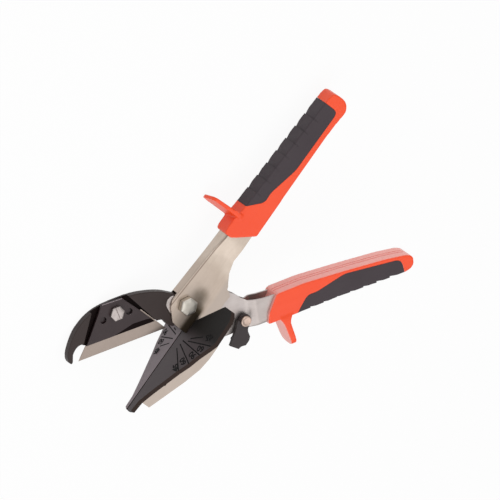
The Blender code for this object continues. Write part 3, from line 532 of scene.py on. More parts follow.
def anvil_steel(name, light, dark, run, roughness):
    """The anvil lever's plate, with painted shade and dark reflections round the pivot bolt and at its
    tip, a tone that changes towards the jaw and along the arm, and a painted dark reflection along its
    bend.
    """
    steel = plated_steel(name, light, dark, run, roughness)
    spot = steel.place(run)
    # Painted shade and dark reflections round the bolt and at the tip, not oil
    beside = painted_round_shade(steel, spot, *SHADE_BESIDE_BOLT)
    below = painted_round_shade(steel, spot, *SHADE_BELOW_BOLT)
    along = steel.along(spot, "X")
    down = steel.along(spot, "Y")
    tip = steel.step(down + along * TIP_SHADE_FALL, *TIP_SHADE_TOP)
    tip = tip * steel.step(along, *TIP_SHADE_BACK) * steel.step(down, *TIP_SHADE_FOOT)
    patches = steel.noise(spot, *BOLT_SHADE_NOISE)
    painted_shade_share = (beside + below) * (patches * BOLT_SHADE_SWING + BOLT_SHADE_LEAST) + tip
    # The plate's tone changes towards the jaw and along the arm
    low = steel.step(down, *JAW_TONE_RUN)
    arm = steel.step(along, *ARM_TONE_RUN)
    # Painted reflection: a dark line along the bend stands in for the curved bend's reflection
    height = down + along * BEND_FALL
    line = steel.step(height, *BEND_FOOT) * steel.step(height, *BEND_TOP)
    shade_tone = steel.mix(tip, colour(*BOLT_SHADE_TONE), colour(*TIP_SHADE_TONE))
    toned = steel.mix(low, steel.base(), colour(*JAW_TONE))
    toned = steel.mix(arm * ARM_TONE_STRENGTH, toned, colour(*ARM_TONE))
    shadowed = steel.mix(painted_shade_share, toned, shade_tone)
    steel.set(Base_Color=steel.mix(line * BEND_STRENGTH, shadowed, colour(*BEND_REFLECTION_TONE)))
    return steel


def moulded(name, tone, shade, roughness, grain_noise=MOULD_GRAIN, bump=MOULD_BUMP, gloss=0.0):
    """Moulded plastic or rubber: a fine spark-eroded grain and faint uneven colour."""
    plastic = Finish(name, Coat_Weight=gloss, Coat_Roughness=0.3, Coat_IOR=1.7)
    spot = plastic.place()
    clouds = plastic.noise(spot, *MOULD_CLOUDS)
    grain = plastic.noise(spot, *grain_noise)
    plastic.set(
        Base_Color=plastic.mix(clouds, tone, shade),
        Roughness=blend(MOULD_ROUGH_SHARES, clouds, grain) + roughness,
        Normal=plastic.bump(grain, *bump),
    )
    return plastic


def grip_plastic():
    """The grips' orange plastic. A paler painted sheen, which stands in for light caught at a glancing
    angle, lies where a grip's mesh says so.
    """
    tones = colour(248, 74, 9), colour(242, 68, 6)
    plastic = moulded("grip_orange", *tones, 0.3, GRIP_GRAIN, GRIP_BUMP, 0.12)
    sheen = plastic.node("ShaderNodeAttribute", {"attribute_name": "sheen"}, output="Fac")
    plastic.set(Base_Color=plastic.mix(sheen, plastic.base(), colour(*GRIP_PAINTED_SHEEN)))
    return plastic


def table_plastic():
    """The table's plastic: duller and darker sides and rear, whose dark tone is painted shade, and a
    far wing painted paler as painted light.
    """
    plastic = Finish("table_nylon", Specular_IOR_Level=0.48)
    spot = plastic.place(TOOL)
    clouds = plastic.noise(spot, *MOULD_CLOUDS)
    grain = plastic.noise(spot, *MOULD_GRAIN)
    across = plastic.along(spot, "Z")
    far = plastic.step(across, *FAR_WING)
    below = plastic.along(spot, "Y") + TABLE_DROP / MM + across * (1 - far * 2) * ROOF_RISE
    top = plastic.step(below, *WING_TOP)
    front = plastic.step(plastic.along(spot, "X"), *WING_FRONT)
    tone = plastic.mix(clouds, colour(*TABLE_TOP), colour(*TABLE_TOP_CLOUDS))
    # Painted light: the far wing is paler because of how light falls on it
    tone = plastic.mix(far, tone, colour(*TABLE_FAR_LIT))
    # Painted shade: the rear, next to the levers, is darker
    tone = plastic.mix(front, colour(*TABLE_REAR_SHADE), tone)
    dull = (1 - top) * SIDE_DULLNESS + (1 - front) * REAR_DULLNESS
    plastic.set(
        # Painted shade: faces below the wing tops are darker
        Base_Color=plastic.mix(top, colour(*TABLE_SIDE_SHADE), tone),
        Roughness=blend(MOULD_ROUGH_SHARES, clouds, grain) + dull + TABLE_ROUGHNESS,
        Normal=plastic.bump(grain, *MOULD_BUMP),
    )
    return plastic


def cast_black(name, tone, shade, roughness, shine=0.4):
    """Black lacquer over a casting: a soft orange-peel and uneven gloss."""
    lacquer = Finish(name, Specular_IOR_Level=shine)
    spot = lacquer.place(CLOSED)
    peel = lacquer.noise(spot, *CAST_PEEL)
    clouds = lacquer.noise(spot, *CAST_CLOUDS)
    lacquer.set(
        Base_Color=lacquer.mix(clouds, tone, shade),
        Roughness=clouds * CAST_ROUGH_SHARE + roughness,
        Normal=lacquer.bump(peel, *CAST_BUMP),
    )
    return lacquer


def turned_metal(name, light, dark, roughness):
    """Small plated fasteners: a fine grain and a little staining."""
    metal = Finish(name, Metallic=1.0)
    spot = metal.place()
    patches = metal.noise(spot, *FASTENER_STAIN)
    grain = metal.noise(spot, *FASTENER_GRAIN)
    metal.set(
        Base_Color=metal.mix(patches, light, dark),
        Roughness=patches * FASTENER_ROUGH_SHARE + roughness,
        Normal=metal.bump(grain, *FASTENER_BUMP),
    )
    return metal


def ground_steel(name, light, dark, run, roughness):
    """A ground blade: fine lines square to its edge."""
    steel = Finish(name, Metallic=1.0)
    spot = steel.place(run)
    lines = steel.noise(steel.stretched(spot, *BLADE_STRETCH), *BLADE_LINES)
    clouds = steel.noise(spot, *BLADE_CLOUDS)
    steel.set(
        Base_Color=steel.mix(blend(BLADE_SHADE_SHARES, lines, clouds), light, dark),
        Roughness=lines * BLADE_ROUGH_SHARE + roughness,
        Normal=steel.bump(lines, *BLADE_BUMP),
    )
    return steel


# Shapes


def new_piece(name, mesh):
    piece = bpy.data.objects.new(name, mesh)
    bpy.context.scene.collection.objects.link(piece)
    return piece


def baked(piece):
    """Turns a piece's modifiers into its mesh."""
    bpy.context.view_layer.update()
    view = bpy.context.evaluated_depsgraph_get()
    mesh = bpy.data.meshes.new_from_object(piece.evaluated_get(view))
    piece.modifiers.clear()
    piece.data = mesh
    return piece


def made_of(shape, name):
    """A piece of an edit mesh, which is freed."""
    mesh = bpy.data.meshes.new(name)
    shape.to_mesh(mesh)
    shape.free()
    return new_piece(name, mesh)


def merged_copy(node, name):
    """A copy of a solid with its loose triangles merged and its flats joined up."""
    shape = bmesh.new()
    shape.from_mesh(frame["nodes"][node].data)
    bmesh.ops.remove_doubles(shape, verts=shape.verts, dist=WELD)
    bmesh.ops.dissolve_limit(
        shape, angle_limit=FLAT_ANGLE, verts=shape.verts, edges=shape.edges,
    )
    return made_of(shape, name)


def carve(piece, tool, operation="DIFFERENCE", solver="MANIFOLD"):
    """Cuts, joins or keeps what a second shape covers, and removes that shape."""
    modifier = piece.modifiers.new("carve", "BOOLEAN")
    modifier.operation = operation
    modifier.solver = solver
    modifier.material_mode = "TRANSFER"
    modifier.object = tool
    baked(piece)
    bpy.data.objects.remove(tool, do_unlink=True)
    return piece


def softened(piece, width, steps=2):
    """Rounds a piece's sharp edges, so that they catch the light."""
    bevel = piece.modifiers.new("edges", "BEVEL")
    bevel.width = width
    bevel.segments = steps
    bevel.limit_method = "ANGLE"
    bevel.angle_limit = SHARP_ANGLE
    bevel.miter_outer = "MITER_ARC"
    return baked(piece)


def shaded(piece):
    """Smooth shading that keeps the flats flat."""
    piece.data.shade_smooth()
    facing = piece.modifiers.new("facing", "WEIGHTED_NORMAL")
    facing.weight = FACING_WEIGHT
    return baked(piece)


def melted(piece, cell, passes):
    """Remeshes a solid in even cells, given in millimetres, and relaxes it so its edges turn round."""
    grid = piece.modifiers.new("grid", "REMESH")
    grid.mode = "VOXEL"
    grid.voxel_size = cell * MM
    grid.use_smooth_shade = True
    relax = piece.modifiers.new("relax", "SMOOTH")
    relax.factor = RELAX_FACTOR
    relax.iterations = passes
    return baked(piece)


def sharpened(piece):
    """Smooth shading that breaks at sharp edges."""
    piece.data.shade_smooth()
    piece.data.set_sharp_from_angle(angle=SHARP_ANGLE)
    return piece


def duplicate(piece, name):
    return new_piece(name, piece.data.copy())


def rounded(points, reach, steps=5):
    """An outline in metres, its corners rounded over a reach in millimetres, or less where a side is
    short."""
    spots = [Vector(point) * MM for point in points]
    curve = []
    for at, corner in enumerate(spots):
        before = spots[at - 1] - corner
        after = spots[(at + 1) % len(spots)] - corner
        start = corner + before * min(reach * MM / before.length, CORNER_SHARE)
        end = corner + after * min(reach * MM / after.length, CORNER_SHARE)
        for step in range(steps + 1):
            share = step / steps
            curve.append(start.lerp(corner, share).lerp(corner.lerp(end, share), share))
    return curve


def hexagon(radius, turn):
    """A hexagonal head's outline in metres, from its radius in millimetres."""
    turns = [turn + math.tau * at / HEAD_SIDES for at in range(HEAD_SIDES)]
    corners = [(radius * math.cos(angle), radius * math.sin(angle)) for angle in turns]
    return rounded(corners, HEAD_CORNER, HEAD_STEPS)


def disc(radius):
    """A round outline in metres, from its radius in millimetres."""
    turns = [math.tau * at / DISC_SIDES for at in range(DISC_SIDES)]
    return [Vector((math.cos(turn), math.sin(turn))) * radius * MM for turn in turns]


def inset(outline, distance):
    """An outline moved inwards, square to its sides. A negative distance moves it out."""
    count = len(outline)
    area = sum(outline[at - 1].cross(outline[at]) for at in range(count))
    way = distance if area > 0 else -distance
    moved = []
    for at, here in enumerate(outline):
        before = (here - outline[at - 1]).normalized()
        after = (outline[(at + 1) % count] - here).normalized()
        first = Vector((-before.y, before.x))
        second = Vector((-after.y, after.x))
        moved.append(here + (first + second) * way / (1 + first.dot(second)))
    return moved


def stacked(name, rings):
    """A closed solid through rings of places that all have the same count."""
    shape = bmesh.new()
    levels = [[shape.verts.new(place) for place in ring] for ring in rings]
    count = len(levels[0])
    for low, high in zip(levels, levels[1:]):
        for at in range(count):
            shape.faces.new((low[at - 1], low[at], high[at], high[at - 1]))
    shape.faces.new(levels[0])
    shape.faces.new(levels[-1])
    bmesh.ops.recalc_face_normals(shape, faces=shape.faces)
    return made_of(shape, name)


def slab(name, outline, low, high, run=Matrix.Identity(4)):
    """A flat-sided solid over an outline in metres, between two heights in millimetres."""
    return stacked(name, [[run @ Vector((x, y, z * MM)) for x, y in outline] for z in (low, high)])


def layered(name, outline, layers):
    """A solid over an outline round the origin, with a height and a scale for each layer."""
    return stacked(name, [
        [(x * scale, y * scale, z * MM) for x, y in outline] for z, scale in layers
    ])


def standing(piece, run):
    """Moves a piece's mesh from a frame of the tool into the world."""
    piece.data.transform(run)
    return piece


def node_group(name, inputs):
    """An empty Geometry Nodes tree with its named inputs, and its two end nodes."""
    tree = bpy.data.node_groups.new(name, "GeometryNodeTree")
    for label, kind in inputs:
        tree.interface.new_socket(name=label, in_out="INPUT", socket_type=kind)
    tree.interface.new_socket(name="Geometry", in_out="OUTPUT", socket_type="NodeSocketGeometry")
    return tree, tree.nodes.new("NodeGroupInput"), tree.nodes.new("NodeGroupOutput")


def make_repeat_tree():
    """Puts one shape on every point, turned and stretched by the point's own values."""
    tree, start, end = node_group("repeat_on_points", (
        ("Geometry", "NodeSocketGeometry"), ("Shape", "NodeSocketObject"),
        ("Finish", "NodeSocketMaterial"),
    ))
    shape = tree.nodes.new("GeometryNodeObjectInfo")
    spread = tree.nodes.new("GeometryNodeInstanceOnPoints")
    whole = tree.nodes.new("GeometryNodeRealizeInstances")
    painted = tree.nodes.new("GeometryNodeSetMaterial")
    turn = tree.nodes.new("GeometryNodeInputNamedAttribute")
    turn.data_type = "FLOAT_VECTOR"
    turn.inputs["Name"].default_value = "turn"
    stretch = tree.nodes.new("GeometryNodeInputNamedAttribute")
    stretch.data_type = "FLOAT_VECTOR"
    stretch.inputs["Name"].default_value = "stretch"
    joins = (
        (start.outputs["Geometry"], spread.inputs["Points"]),
        (start.outputs["Shape"], shape.inputs["Object"]),
        (shape.outputs["Geometry"], spread.inputs["Instance"]),
        (turn.outputs["Attribute"], spread.inputs["Rotation"]),
        (stretch.outputs["Attribute"], spread.inputs["Scale"]),
        (spread.outputs["Instances"], whole.inputs["Geometry"]),
        (whole.outputs["Geometry"], painted.inputs["Geometry"]),
        (start.outputs["Finish"], painted.inputs["Material"]),
        (painted.outputs["Geometry"], end.inputs["Geometry"]),
    )
    for out, into in joins:
        tree.links.new(out, into)
    return tree


REPEAT = make_repeat_tree()


def repeated(name, shape, finish, spots):
    """One mesh of copies of a shape. Each spot has a place, a turn and a stretch."""
    mesh = bpy.data.meshes.new(name)
    mesh.from_pydata([place for place, turn, stretch in spots], [], [])
    for label, at in (("turn", 1), ("stretch", 2)):
        values = mesh.attributes.new(label, "FLOAT_VECTOR", "POINT")
        for item, spot in zip(values.data, spots):
            item.vector = spot[at]
    piece = new_piece(name, mesh)
    modifier = piece.modifiers.new("repeat", "NODES")
    modifier.node_group = REPEAT
    items = REPEAT.interface.items_tree
    sockets = {item.name: item.identifier for item in items if item.in_out == "INPUT"}
    modifier[sockets["Shape"]] = shape
    modifier[sockets["Finish"]] = finish.material
    baked(piece)
    bpy.data.objects.remove(shape, do_unlink=True)
    return piece


def painted(piece, finish):
    piece.data.materials.clear()
    piece.data.materials.append(finish.material)
    return piece


def settle(piece, body, slot, *nodes):
    """Says which body a piece rides and which nodes it stands for, which it hides. Its slot, which
    would say what it is made of, is not used.
    """
    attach(piece, body)
    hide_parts(*nodes)
    return piece


# Finishes of this tool

steel_anvil = anvil_steel(
    "zinc_anvil_lever", colour(206, 192, 179), colour(182, 167, 153), TOOL, 0.26,
)
steel_blade_lever = plated_steel(
    "zinc_blade_lever", colour(196, 188, 185), colour(176, 166, 162), CLOSED, 0.32,
)
black_cast = cast_black("lacquered_casting", colour(48, 34, 31), colour(42, 29, 27), 0.39)
black_cover = cast_black("blackened_cover", colour(53, 39, 41), colour(45, 33, 35), 0.35)
blade_ground = ground_steel(
    "ground_blade", colour(155, 143, 135), colour(135, 122, 114), CLOSED, 0.23,
)
table_nylon = table_plastic()
latch_nylon = moulded("latch_nylon", colour(47, 36, 38), colour(39, 30, 31), 0.36)
grip_orange = grip_plastic()
pad_rubber = moulded(
    "pad_rubber", colour(62, 52, 57), colour(55, 46, 51), 0.52, PAD_GRAIN, PAD_BUMP,
)
bolt_zinc = turned_metal("bolt_zinc", colour(209, 203, 193), colour(180, 174, 164), 0.31)
screw_zinc = turned_metal("screw_zinc", colour(188, 179, 176), colour(160, 151, 148), 0.31)
rivet_nickel = turned_metal("rivet_nickel", colour(206, 184, 171), colour(178, 155, 142), 0.27)
# Painted shade: a darker copy of the lacquer for recesses, slots and holes
recess_shade_black = cast_black("recess_shade_black", colour(26, 14, 14), colour(20, 10, 10), 0.63, 0.12)
# A darker copy of the table's plastic: painted shade for its sideways faces
side_shade_black = cast_black("table_side_shade", colour(60, 50, 46), colour(52, 42, 39), 0.63, 0.1)
edge_highlight_metal = turned_metal("painted_edge_highlight", colour(176, 164, 167), colour(156, 144, 147), 0.38)
# Painted shade for the grooves of the table's marks and digits
groove_shade_black = moulded("groove_shade_black", colour(12, 9, 10), colour(9, 7, 8), 0.75)
inner_steel = turned_metal("oiled_steel", colour(120, 116, 114), colour(90, 86, 84), 0.35)

# Copies of solids with their edges rounded

PLAIN_PIECES = (
    ("anvil_lever", "anvil_channel", PLATE_EDGE, steel_anvil, "anvil_side", "lever_steel"),
    ("pivot_nut", "hexagon_nut", NUT_EDGE, bolt_zinc, "anvil_side", "bright_steel"),
    ("pivot_washer", "flat_washer", WASHER_EDGE, bolt_zinc, "anvil_side", "bright_steel"),
    ("blade_lever", "blade_channel", PLATE_EDGE, steel_blade_lever, "blade_side", "lever_steel"),
    ("latch_lever", "latch_tab", LATCH_EDGE, latch_nylon, "latch", "latch_plastic"),
)
for node, name, width, finish, body, slot in PLAIN_PIECES:
    piece = shaded(softened(merged_copy(node, name), width))
    settle(painted(piece, finish), body, slot, node)


# Mitre table with its marks


def wing_frame(side):
    """The plane of one wing's top: X along the blade slot, Y against the tool's Z, Z up."""
    sine = math.sin(ROOF_SLOPE) * side
    cosine = math.cos(ROOF_SLOPE)
    lean = Matrix(((1, 0, 0, 0), (0, sine, cosine, 0), (0, -cosine, sine, 0), (0, 0, 0, 1)))
    return Matrix.Translation((0, -TABLE_DROP, 0)) @ lean


def on_wing(spot):
    """A spot on a wing, from the tool's X and Z in millimetres."""
    x, z = spot
    return Vector((x, -z / math.cos(ROOF_SLOPE))) * MM


def mark_spot(start, end):
    """Place, turn and stretch of a mark between two spots on a wing."""
    run = on_wing(end) - on_wing(start)
    middle = (on_wing(end) + on_wing(start)) / 2
    return (*middle, 0), (0, 0, math.atan2(run.y, run.x)), (run.length / MM, 1, 1)


def mark_bar(name):
    """A bar a millimetre long, which each mark stretches to its own length."""
    half = MM / 2
    wide = MARK_WIDTH / 2
    corners = ((-half, -wide), (half, -wide), (half, wide), (-half, wide))
    return slab(name, corners, -MARK_DEPTH / MM, MARK_OVERRUN)


def digits(text, spot, turn):
    """Angle digits as a solid that is let into a wing."""
    letters = bpy.data.curves.new("digits", "FONT")
    letters.body = text
    letters.size = DIGIT_SIZE
    letters.align_x = "CENTER"
    letters.align_y = "CENTER"
    letters.extrude = MARK_DEPTH
    letters.offset = DIGIT_WEIGHT
    letters.resolution_u = DIGIT_CURVE
    holder = bpy.data.objects.new("digits", letters)
    bpy.context.scene.collection.objects.link(holder)
    bpy.context.view_layer.update()
    view = bpy.context.evaluated_depsgraph_get()
    shape = bmesh.new()
    shape.from_mesh(holder.evaluated_get(view).to_mesh())
    bmesh.ops.remove_doubles(shape, verts=shape.verts, dist=WELD)
    bmesh.ops.rotate(shape, matrix=Matrix.Rotation(math.radians(turn), 3, "Z"), verts=shape.verts)
    bmesh.ops.translate(shape, vec=(*on_wing(spot), 0), verts=shape.verts)
    bpy.data.objects.remove(holder, do_unlink=True)
    return painted(made_of(shape, "digits"), groove_shade_black)


def make_table():
    """The table, with lips that narrow its slot, sides painted darker as shade, and its marks and its
    digits, whose grooves are painted near-black as shade.
    """
    table = softened(merged_copy("mitre_table", "roofed_table"), TABLE_EDGE)
    for side in (1, -1):
        lip = [Vector((y, z * side)) * MM for y, z in SLOT_LIP]
        carve(table, slab("slot lip", lip, *SLOT_RUN, TOOL @ ALONG_X), "UNION", "EXACT")
    painted(table, table_nylon)
    # Painted shade: faces that look sideways get the darker copy of the plastic
    table.data.materials.append(side_shade_black.material)
    across = TOOL.to_3x3() @ Vector((0, 0, 1))
    for face in table.data.polygons:
        if abs(face.normal.dot(across)) > SIDE_FACING:
            face.material_index = 1
    for side, marks, labels in WINGS:
        run = TOOL @ wing_frame(side)
        spots = [mark_spot(start, end) for start, end in marks]
        # The marks' and digits' grooves are painted near-black as the shade in them
        cutter = repeated("marks", mark_bar("mark"), groove_shade_black, spots)
        carve(table, standing(cutter, run), solver="EXACT")
        for text, spot, turn in labels:
            carve(table, standing(digits(text, spot, turn), run), solver="EXACT")
    settle(shaded(table), "anvil_side", "black_plastic", "mitre_table")


# Handles


def rib_tool(half, slope):
    """A saw-tooth cut that wraps round a handle's back: a step, then a ramp back to the surface."""
    path = []
    for side in (1, -1):
        arm = [(y, (half - y * slope) * side, deep) for y, deep in RIB_WRAP]
        arm.append((0, (half - RIB_CORNER) * side, 1.0))
        path += arm if side > 0 else reversed(arm)
    rings = []
    for at, (y, z, deep) in enumerate(path):
        here = Vector((y, z))
        run = Vector(path[min(at + 1, len(path) - 1)][:2]) - Vector(path[max(at - 1, 0)][:2])
        out = Vector((-run.y, run.x)).normalized()
        low = here - out * RIB_DEPTH * deep
        high = here + out * RIB_TOP
        rings.append([Vector((x, *spot)) * MM for x, spot in (
            (0, high), (0, low), (RIB_LEAD, low), (RIB_RAMP, high),
        )])
    return stacked("rib", rings)


def rib_row(tool, start, end):
    """Evenly spaced rib cuts between two spots on a handle's back."""
    first = Vector(start)
    run = Vector(end) - first
    turn = math.atan2(run.y, run.x)
    spots = []
    for at in range(RIB_COUNT):
        place = (first + run * at / (RIB_COUNT - 1)) * MM
        spots.append(((*place, 0), (0, 0, turn), (1, 1, 1)))
    return repeated("rib cuts", tool, pad_rubber, spots)


def handle(names, outline, corner, pad_outline, ridge, fin, ribs, run):
    """A handle in two mouldings that share one skin: the hard one with its guard, and the pad.

    The ridge says where a handle is widest: a spot on it, its turn in radians, the way to the
    handle's ribbed back, and how much each side falls in towards that back.
    """
    hard = slab(names[0], rounded(outline, corner), -GRIP_HALF, GRIP_HALF)
    start, turn, way, fall = ridge
    beside = [(SECTION_INNER, GRIP_HALF), (0, GRIP_HALF), (SECTION_OUTER, GRIP_HALF - fall)]
    outside = [(y, -z) for y, z in reversed(beside)]
    section = [Vector((y * way, z)) * MM for y, z in beside + outside]
    ridge_frame = Matrix.Translation((*(Vector(start) * MM), 0)) @ Matrix.Rotation(turn, 4, "Z")
    carve(hard, slab("section", section, *SECTION_RUN, ridge_frame @ ALONG_X), "INTERSECT")
    carve(hard, fin, "UNION")
    melted(hard, GRIP_CELL, GRIP_PASSES)
    pad_edge = rounded(pad_outline, PAD_CORNER)
    pad = carve(duplicate(hard, names[1]), slab("pad area", pad_edge, *PAD_SPAN), "INTERSECT")
    carve(pad, ribs)
    carve(hard, slab("pad bed", inset(pad_edge, -SEAM * MM), *PAD_SPAN))
    for piece in (hard, pad):
        sharpened(standing(piece, run))
    return hard, pad


def upper_fin():
    """The upper guard: a fin whose far edge leans towards the jaws, and which thins to its tip."""
    face = [(y, z) for z, y in rounded(UPPER_FIN, UPPER_FIN_CORNER)]
    rings = []
    for share in (0, 1):
        ring = []
        for y, z in face:
            rise = y / MM - UPPER_FIN_ROOT
            thick = UPPER_FIN_THICKNESS - rise / UPPER_FIN_TAPER_RUN
            x = UPPER_FIN_PLACE + UPPER_FIN_TILT * rise + thick * share + z / MM * UPPER_FIN_LEAN
            ring.append((x * MM, y, z))
        rings.append(ring)
    return stacked("guard", rings)


def lower_fin():
    """The lower guard: what its side view and its face share."""
    side = slab("guard", rounded(LOWER_FIN_SIDE, LOWER_FIN_SIDE_CORNER), *LOWER_FIN_SPAN)
    face = [Vector((y, z)) for z, y in rounded(LOWER_FIN, LOWER_FIN_CORNER)]
    return carve(side, slab("guard face", face, *LOWER_FIN_RUN, ALONG_X), "INTERSECT")


def add_painted_sheen(piece, *ways):
    """Says on a piece's mesh where it faces one of a few ways, with a smooth step, for a painted
    sheen.
    """
    sheen = piece.data.attributes.new("sheen", "FLOAT", "POINT")
    for item, normal in zip(sheen.data, piece.data.vertex_normals):
        facing = max(normal.vector.dot(way) for way in ways)
        share = min(max((facing - PAINTED_SHEEN_START) / PAINTED_SHEEN_SPAN, 0), 1)
        item.value = share * share * (3 - 2 * share)


def make_handles():
    """Both handles. The lower one's rib tool is the mirror of the upper one's."""
    upper = handle(
        ("upper_handle", "upper_handle_pad"), UPPER_OUTLINE, UPPER_CORNER, UPPER_PAD, UPPER_RIDGE,
        upper_fin(), rib_row(rib_tool(*UPPER_RIBS), *UPPER_RIB_ROW), TOOL,
    )
    tool = rib_tool(*LOWER_RIBS)
    tool.data.transform(Matrix.Diagonal((1, -1, 1, 1)))
    tool.data.flip_normals()
    lower = handle(
        ("lower_handle", "lower_handle_pad"), LOWER_OUTLINE, LOWER_CORNER, LOWER_PAD, LOWER_RIDGE,
        lower_fin(), rib_row(tool, *LOWER_RIB_ROW), CLOSED,
    )
    line = [Vector(spot) * MM for spot in PARTING_RUN]
    for z in PARTING_LINES:
        carve(lower[0], slab("parting line", line, z - PARTING_HALF, z + PARTING_HALF, CLOSED))
    turned = CLOSED.to_3x3()
    # Painted sheen on the lower grip's inner face and on its guard's front face
    add_painted_sheen(lower[0], turned @ Vector((0, 1, 0)), turned @ Vector((-1, 0, 0)))
    for pieces, side, body in ((upper, "upper", "anvil_side"), (lower, "lower", "blade_side")):
        settle(painted(pieces[0], grip_orange), body, "orange_plastic", side + "_grip")
        settle(painted(pieces[1], pad_rubber), body, "dark_rubber", side + "_grip_pad")


# Jaw casting, blade, cover and fasteners


def edge_gap(outline, spot):
    """How far a spot is from the nearest side of an outline."""
    gaps = []
    for at, here in enumerate(outline):
        share = intersect_point_line(spot, outline[at - 1], here)[1]
        near = outline[at - 1].lerp(here, min(max(share, 0), 1))
        gaps.append((near - spot).length)
    return min(gaps)


def make_casting():
    """The casting: a relaxed outline, recesses painted darker than its rim as shade, and room for the
    spring, painted dark the same way.
    """
    outline = rounded(CASTING_OUTLINE, CASTING_CORNER)
    casting = slab("jaw_casting", outline, *CASTING_SPAN)
    painted(casting, black_cast)
    melted(casting, CASTING_CELL, CASTING_PASSES)
    standing(casting, CLOSED)
    # The recesses and the spring's room are painted darker as shade
    carve(casting, painted(merged_copy("blade_holder", "casting_cuts"), recess_shade_black), "INTERSECT")
    room = [Vector(spot) * MM for spot in SPRING_ROOM]
    carve(casting, painted(slab("spring room", room, *SPRING_ROOM_SPAN, CLOSED), recess_shade_black))
    into = CLOSED.inverted()
    for face in casting.data.polygons:
        if edge_gap(outline, (into @ face.center).xy) < CASTING_RIM * MM:
            face.material_index = 0
    settle(sharpened(casting), "blade_side", "black_casting", "blade_holder")


def make_cover():
    """The cover plate: a painted highlight on its upper edges, a recess along its lower edge and two
    dimples, painted dark as shade.
    """
    cover = softened(merged_copy("blade_cover", "clamp_plate"), COVER_EDGE)
    painted(cover, black_cover)
    # Painted highlight: bright metal on the faces of the upper edges
    cover.data.materials.append(edge_highlight_metal.material)
    out = CLOSED.to_3x3() @ Vector(HIGHLIGHT_WAY)
    up = CLOSED.to_3x3() @ Vector((0, 0, 1))
    least, most = HIGHLIGHT_TILT
    for face in cover.data.polygons:
        if face.normal.dot(out) > HIGHLIGHT_FACING and least < face.normal.dot(up) < most:
            face.material_index = 1
    # The wedge and the dimples' walls are painted dark as shade
    wedge = [Vector(spot) * MM for spot in COVER_WEDGE]
    cut = painted(slab("wedge", wedge, *WEDGE_SPAN, CLOSED), recess_shade_black)
    carve(cover, cut, solver="EXACT")
    for node, spot in DIMPLES:
        place = CLOSED @ Matrix.Translation((*(Vector(spot) * MM), 0))
        cut = painted(slab("dimple", disc(DIMPLE_RADIUS), *DIMPLE_SPAN, place), recess_shade_black)
        carve(cover, cut, solver="EXACT")
        pin = sharpened(slab(node + "_head", disc(PIN_RADIUS), *PIN_SPAN, place))
        settle(painted(pin, black_cover), "blade_side", "dark_steel", node)
    settle(shaded(cover), "blade_side", "dark_steel", "blade_cover")


def make_blade():
    """The trapezoid blade, ground to an edge on both sides."""
    front, rear = BLADE_ENDS
    edge = BLADE_LEVELS[0][0]
    rings = []
    for y, half in BLADE_LEVELS:
        rise = (y - edge) / BLADE_HEIGHT
        left = front + BLADE_SLANT * rise
        right = rear - BLADE_SLANT * rise
        rings.append([Vector(spot) * MM for spot in (
            (left, y, -half), (right, y, -half), (right, y, half), (left, y, half),
        )])
    blade = standing(stacked("ground_blade_plate", rings), CLOSED)
    settle(painted(sharpened(blade), blade_ground), "blade_side", "blade_steel", "blade")


def make_bolt():
    """The pivot bolt, with a domed hexagon in place of its plain head."""
    bolt = merged_copy("pivot_bolt", "hexagon_bolt")
    head = layered("head", hexagon(BOLT_RADIUS, BOLT_TURN), BOLT_LAYERS)
    radius, low, high = BOLT_SPACE
    carve(bolt, slab("head space", disc(radius), low, high, TOOL), solver="EXACT")
    carve(bolt, standing(head, TOOL), "UNION", "EXACT")
    settle(painted(sharpened(bolt), bolt_zinc), "anvil_side", "bright_steel", "pivot_bolt")


def make_screw():
    """The clamp screw: a domed hexagon with a slot across it."""
    screw = layered("slotted_screw", hexagon(SCREW_RADIUS, SCREW_TURN), SCREW_LAYERS)
    radius, low, high = SHANK
    carve(screw, slab("shank", disc(radius), low, high), "UNION", "EXACT")
    turned = Matrix.Rotation(SCREW_SLOT_TURN, 4, "Z")
    slot = [Vector(spot) * MM for spot in SCREW_SLOT]
    carve(screw, slab("slot", slot, *SCREW_SLOT_SPAN, turned), solver="EXACT")
    place = Matrix.Translation(Vector(SCREW_PLACE) * MM)
    sharpened(standing(screw, CLOSED @ place))
    settle(painted(screw, screw_zinc), "blade_side", "bright_steel", "clamp_screw")


def make_rivet():
    """The latch's rivet, with a rolled head that is dished in its middle."""
    rivet = layered("latch_rivet_head", disc(RIVET_RADIUS), RIVET_LAYERS)
    place = Matrix.Translation(LATCH_PIN)
    sharpened(standing(rivet, CLOSED @ place))
    settle(painted(rivet, rivet_nickel), "blade_side", "bright_steel", "latch_rivet")


make_table()
make_handles()
make_casting()
make_cover()
make_blade()
make_bolt()
make_screw()
make_rivet()

# Solids inside the tool show as packed, each with a finish

HIDDEN_NODES = {
    "anvil_bar": inner_steel, "table_pin_rear": inner_steel, "table_pin_front": inner_steel,
    "pivot_bush": bolt_zinc, "opening_spring": inner_steel, "holder_rivet_upper": bolt_zinc,
    "holder_rivet_lower": bolt_zinc,
}
for node, finish in HIDDEN_NODES.items():
    painted(frame["nodes"][node], finish)


# Floor, light and camera


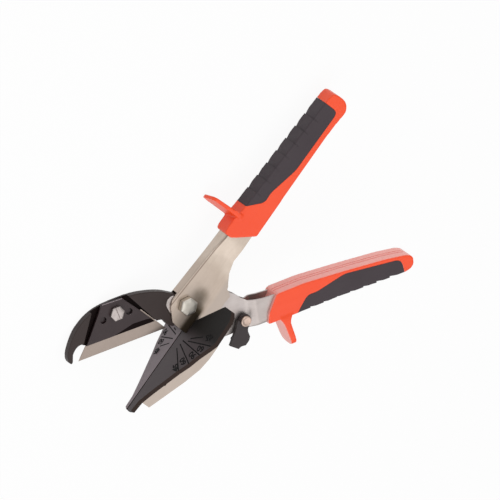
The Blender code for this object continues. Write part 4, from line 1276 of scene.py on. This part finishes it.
def make_floor():
    """A pale sheet that the camera and the metal see evenly lit."""
    corners = [(x * FLOOR_HALF, y * FLOOR_HALF, 0) for x, y in ((-1, -1), (1, -1), (1, 1), (-1, 1))]
    mesh = bpy.data.meshes.new("studio_floor")
    mesh.from_pydata(corners, [], [(0, 1, 2, 3)])
    floor = new_piece("studio_floor", mesh)
    paper = Finish("white_paper", Roughness=0.9, Base_Color=FLOOR_TONE, Specular_IOR_Level=0.0)
    ray = paper.node("ShaderNodeLightPath", output="Is Camera Ray")
    mirrored = paper.node("ShaderNodeLightPath", output="Is Glossy Ray")
    glow = paper.node("ShaderNodeEmission", {}, {"Strength": 1.0})
    plain = Value(paper, paper.surface.outputs[0])
    share = (ray + mirrored) * FLOOR_GLOW
    both = paper.node("ShaderNodeMixShader", {}, {0: share, 1: plain, 2: glow})
    output = paper.tree.nodes["Material Output"]
    paper.feed(output.inputs["Surface"], both)
    mesh.materials.append(paper.material)


def make_lamp(name, place, size, power):
    """A soft box that faces the tool."""
    lamp = bpy.data.lights.new(name, "AREA")
    lamp.shape = "SQUARE"
    lamp.size = size
    lamp.energy = power
    holder = bpy.data.objects.new(name, lamp)
    holder.location = place
    holder.rotation_euler = (-Vector(place)).to_track_quat("-Z", "Y").to_euler()
    bpy.context.scene.collection.objects.link(holder)


def make_world():
    """An even white glow from all round."""
    world = bpy.data.worlds.new("studio")
    bpy.context.scene.world = world
    world.use_nodes = True
    tree = world.node_tree
    back = tree.nodes["Background"]
    back.inputs["Color"].default_value = (1, 1, 1, 1)
    back.inputs["Strength"].default_value = WORLD_GLOW


def make_camera():
    """The photo's view, through a long lens."""
    lens = bpy.data.cameras.new("photo_view")
    lens.lens = LENS
    lens.sensor_width = SENSOR
    camera = bpy.data.objects.new("photo_view", lens)
    bpy.context.scene.collection.objects.link(camera)
    away = VIEW_RIGHT.cross(VIEW_UP).normalized()
    up = VIEW_UP.normalized()
    turned = Matrix((up.cross(away), up, away)).transposed().to_4x4()
    stand = Matrix.Translation(VIEW_CENTRE + away * VIEW_DISTANCE)
    camera.matrix_world = TOOL @ stand @ turned
    bpy.context.scene.camera = camera


make_floor()
make_lamp("key_softbox", *KEY_SOFTBOX)
make_lamp("fill_softbox", *FILL_SOFTBOX)
make_world()
make_camera()
bpy.context.scene.view_settings.view_transform = "Standard"
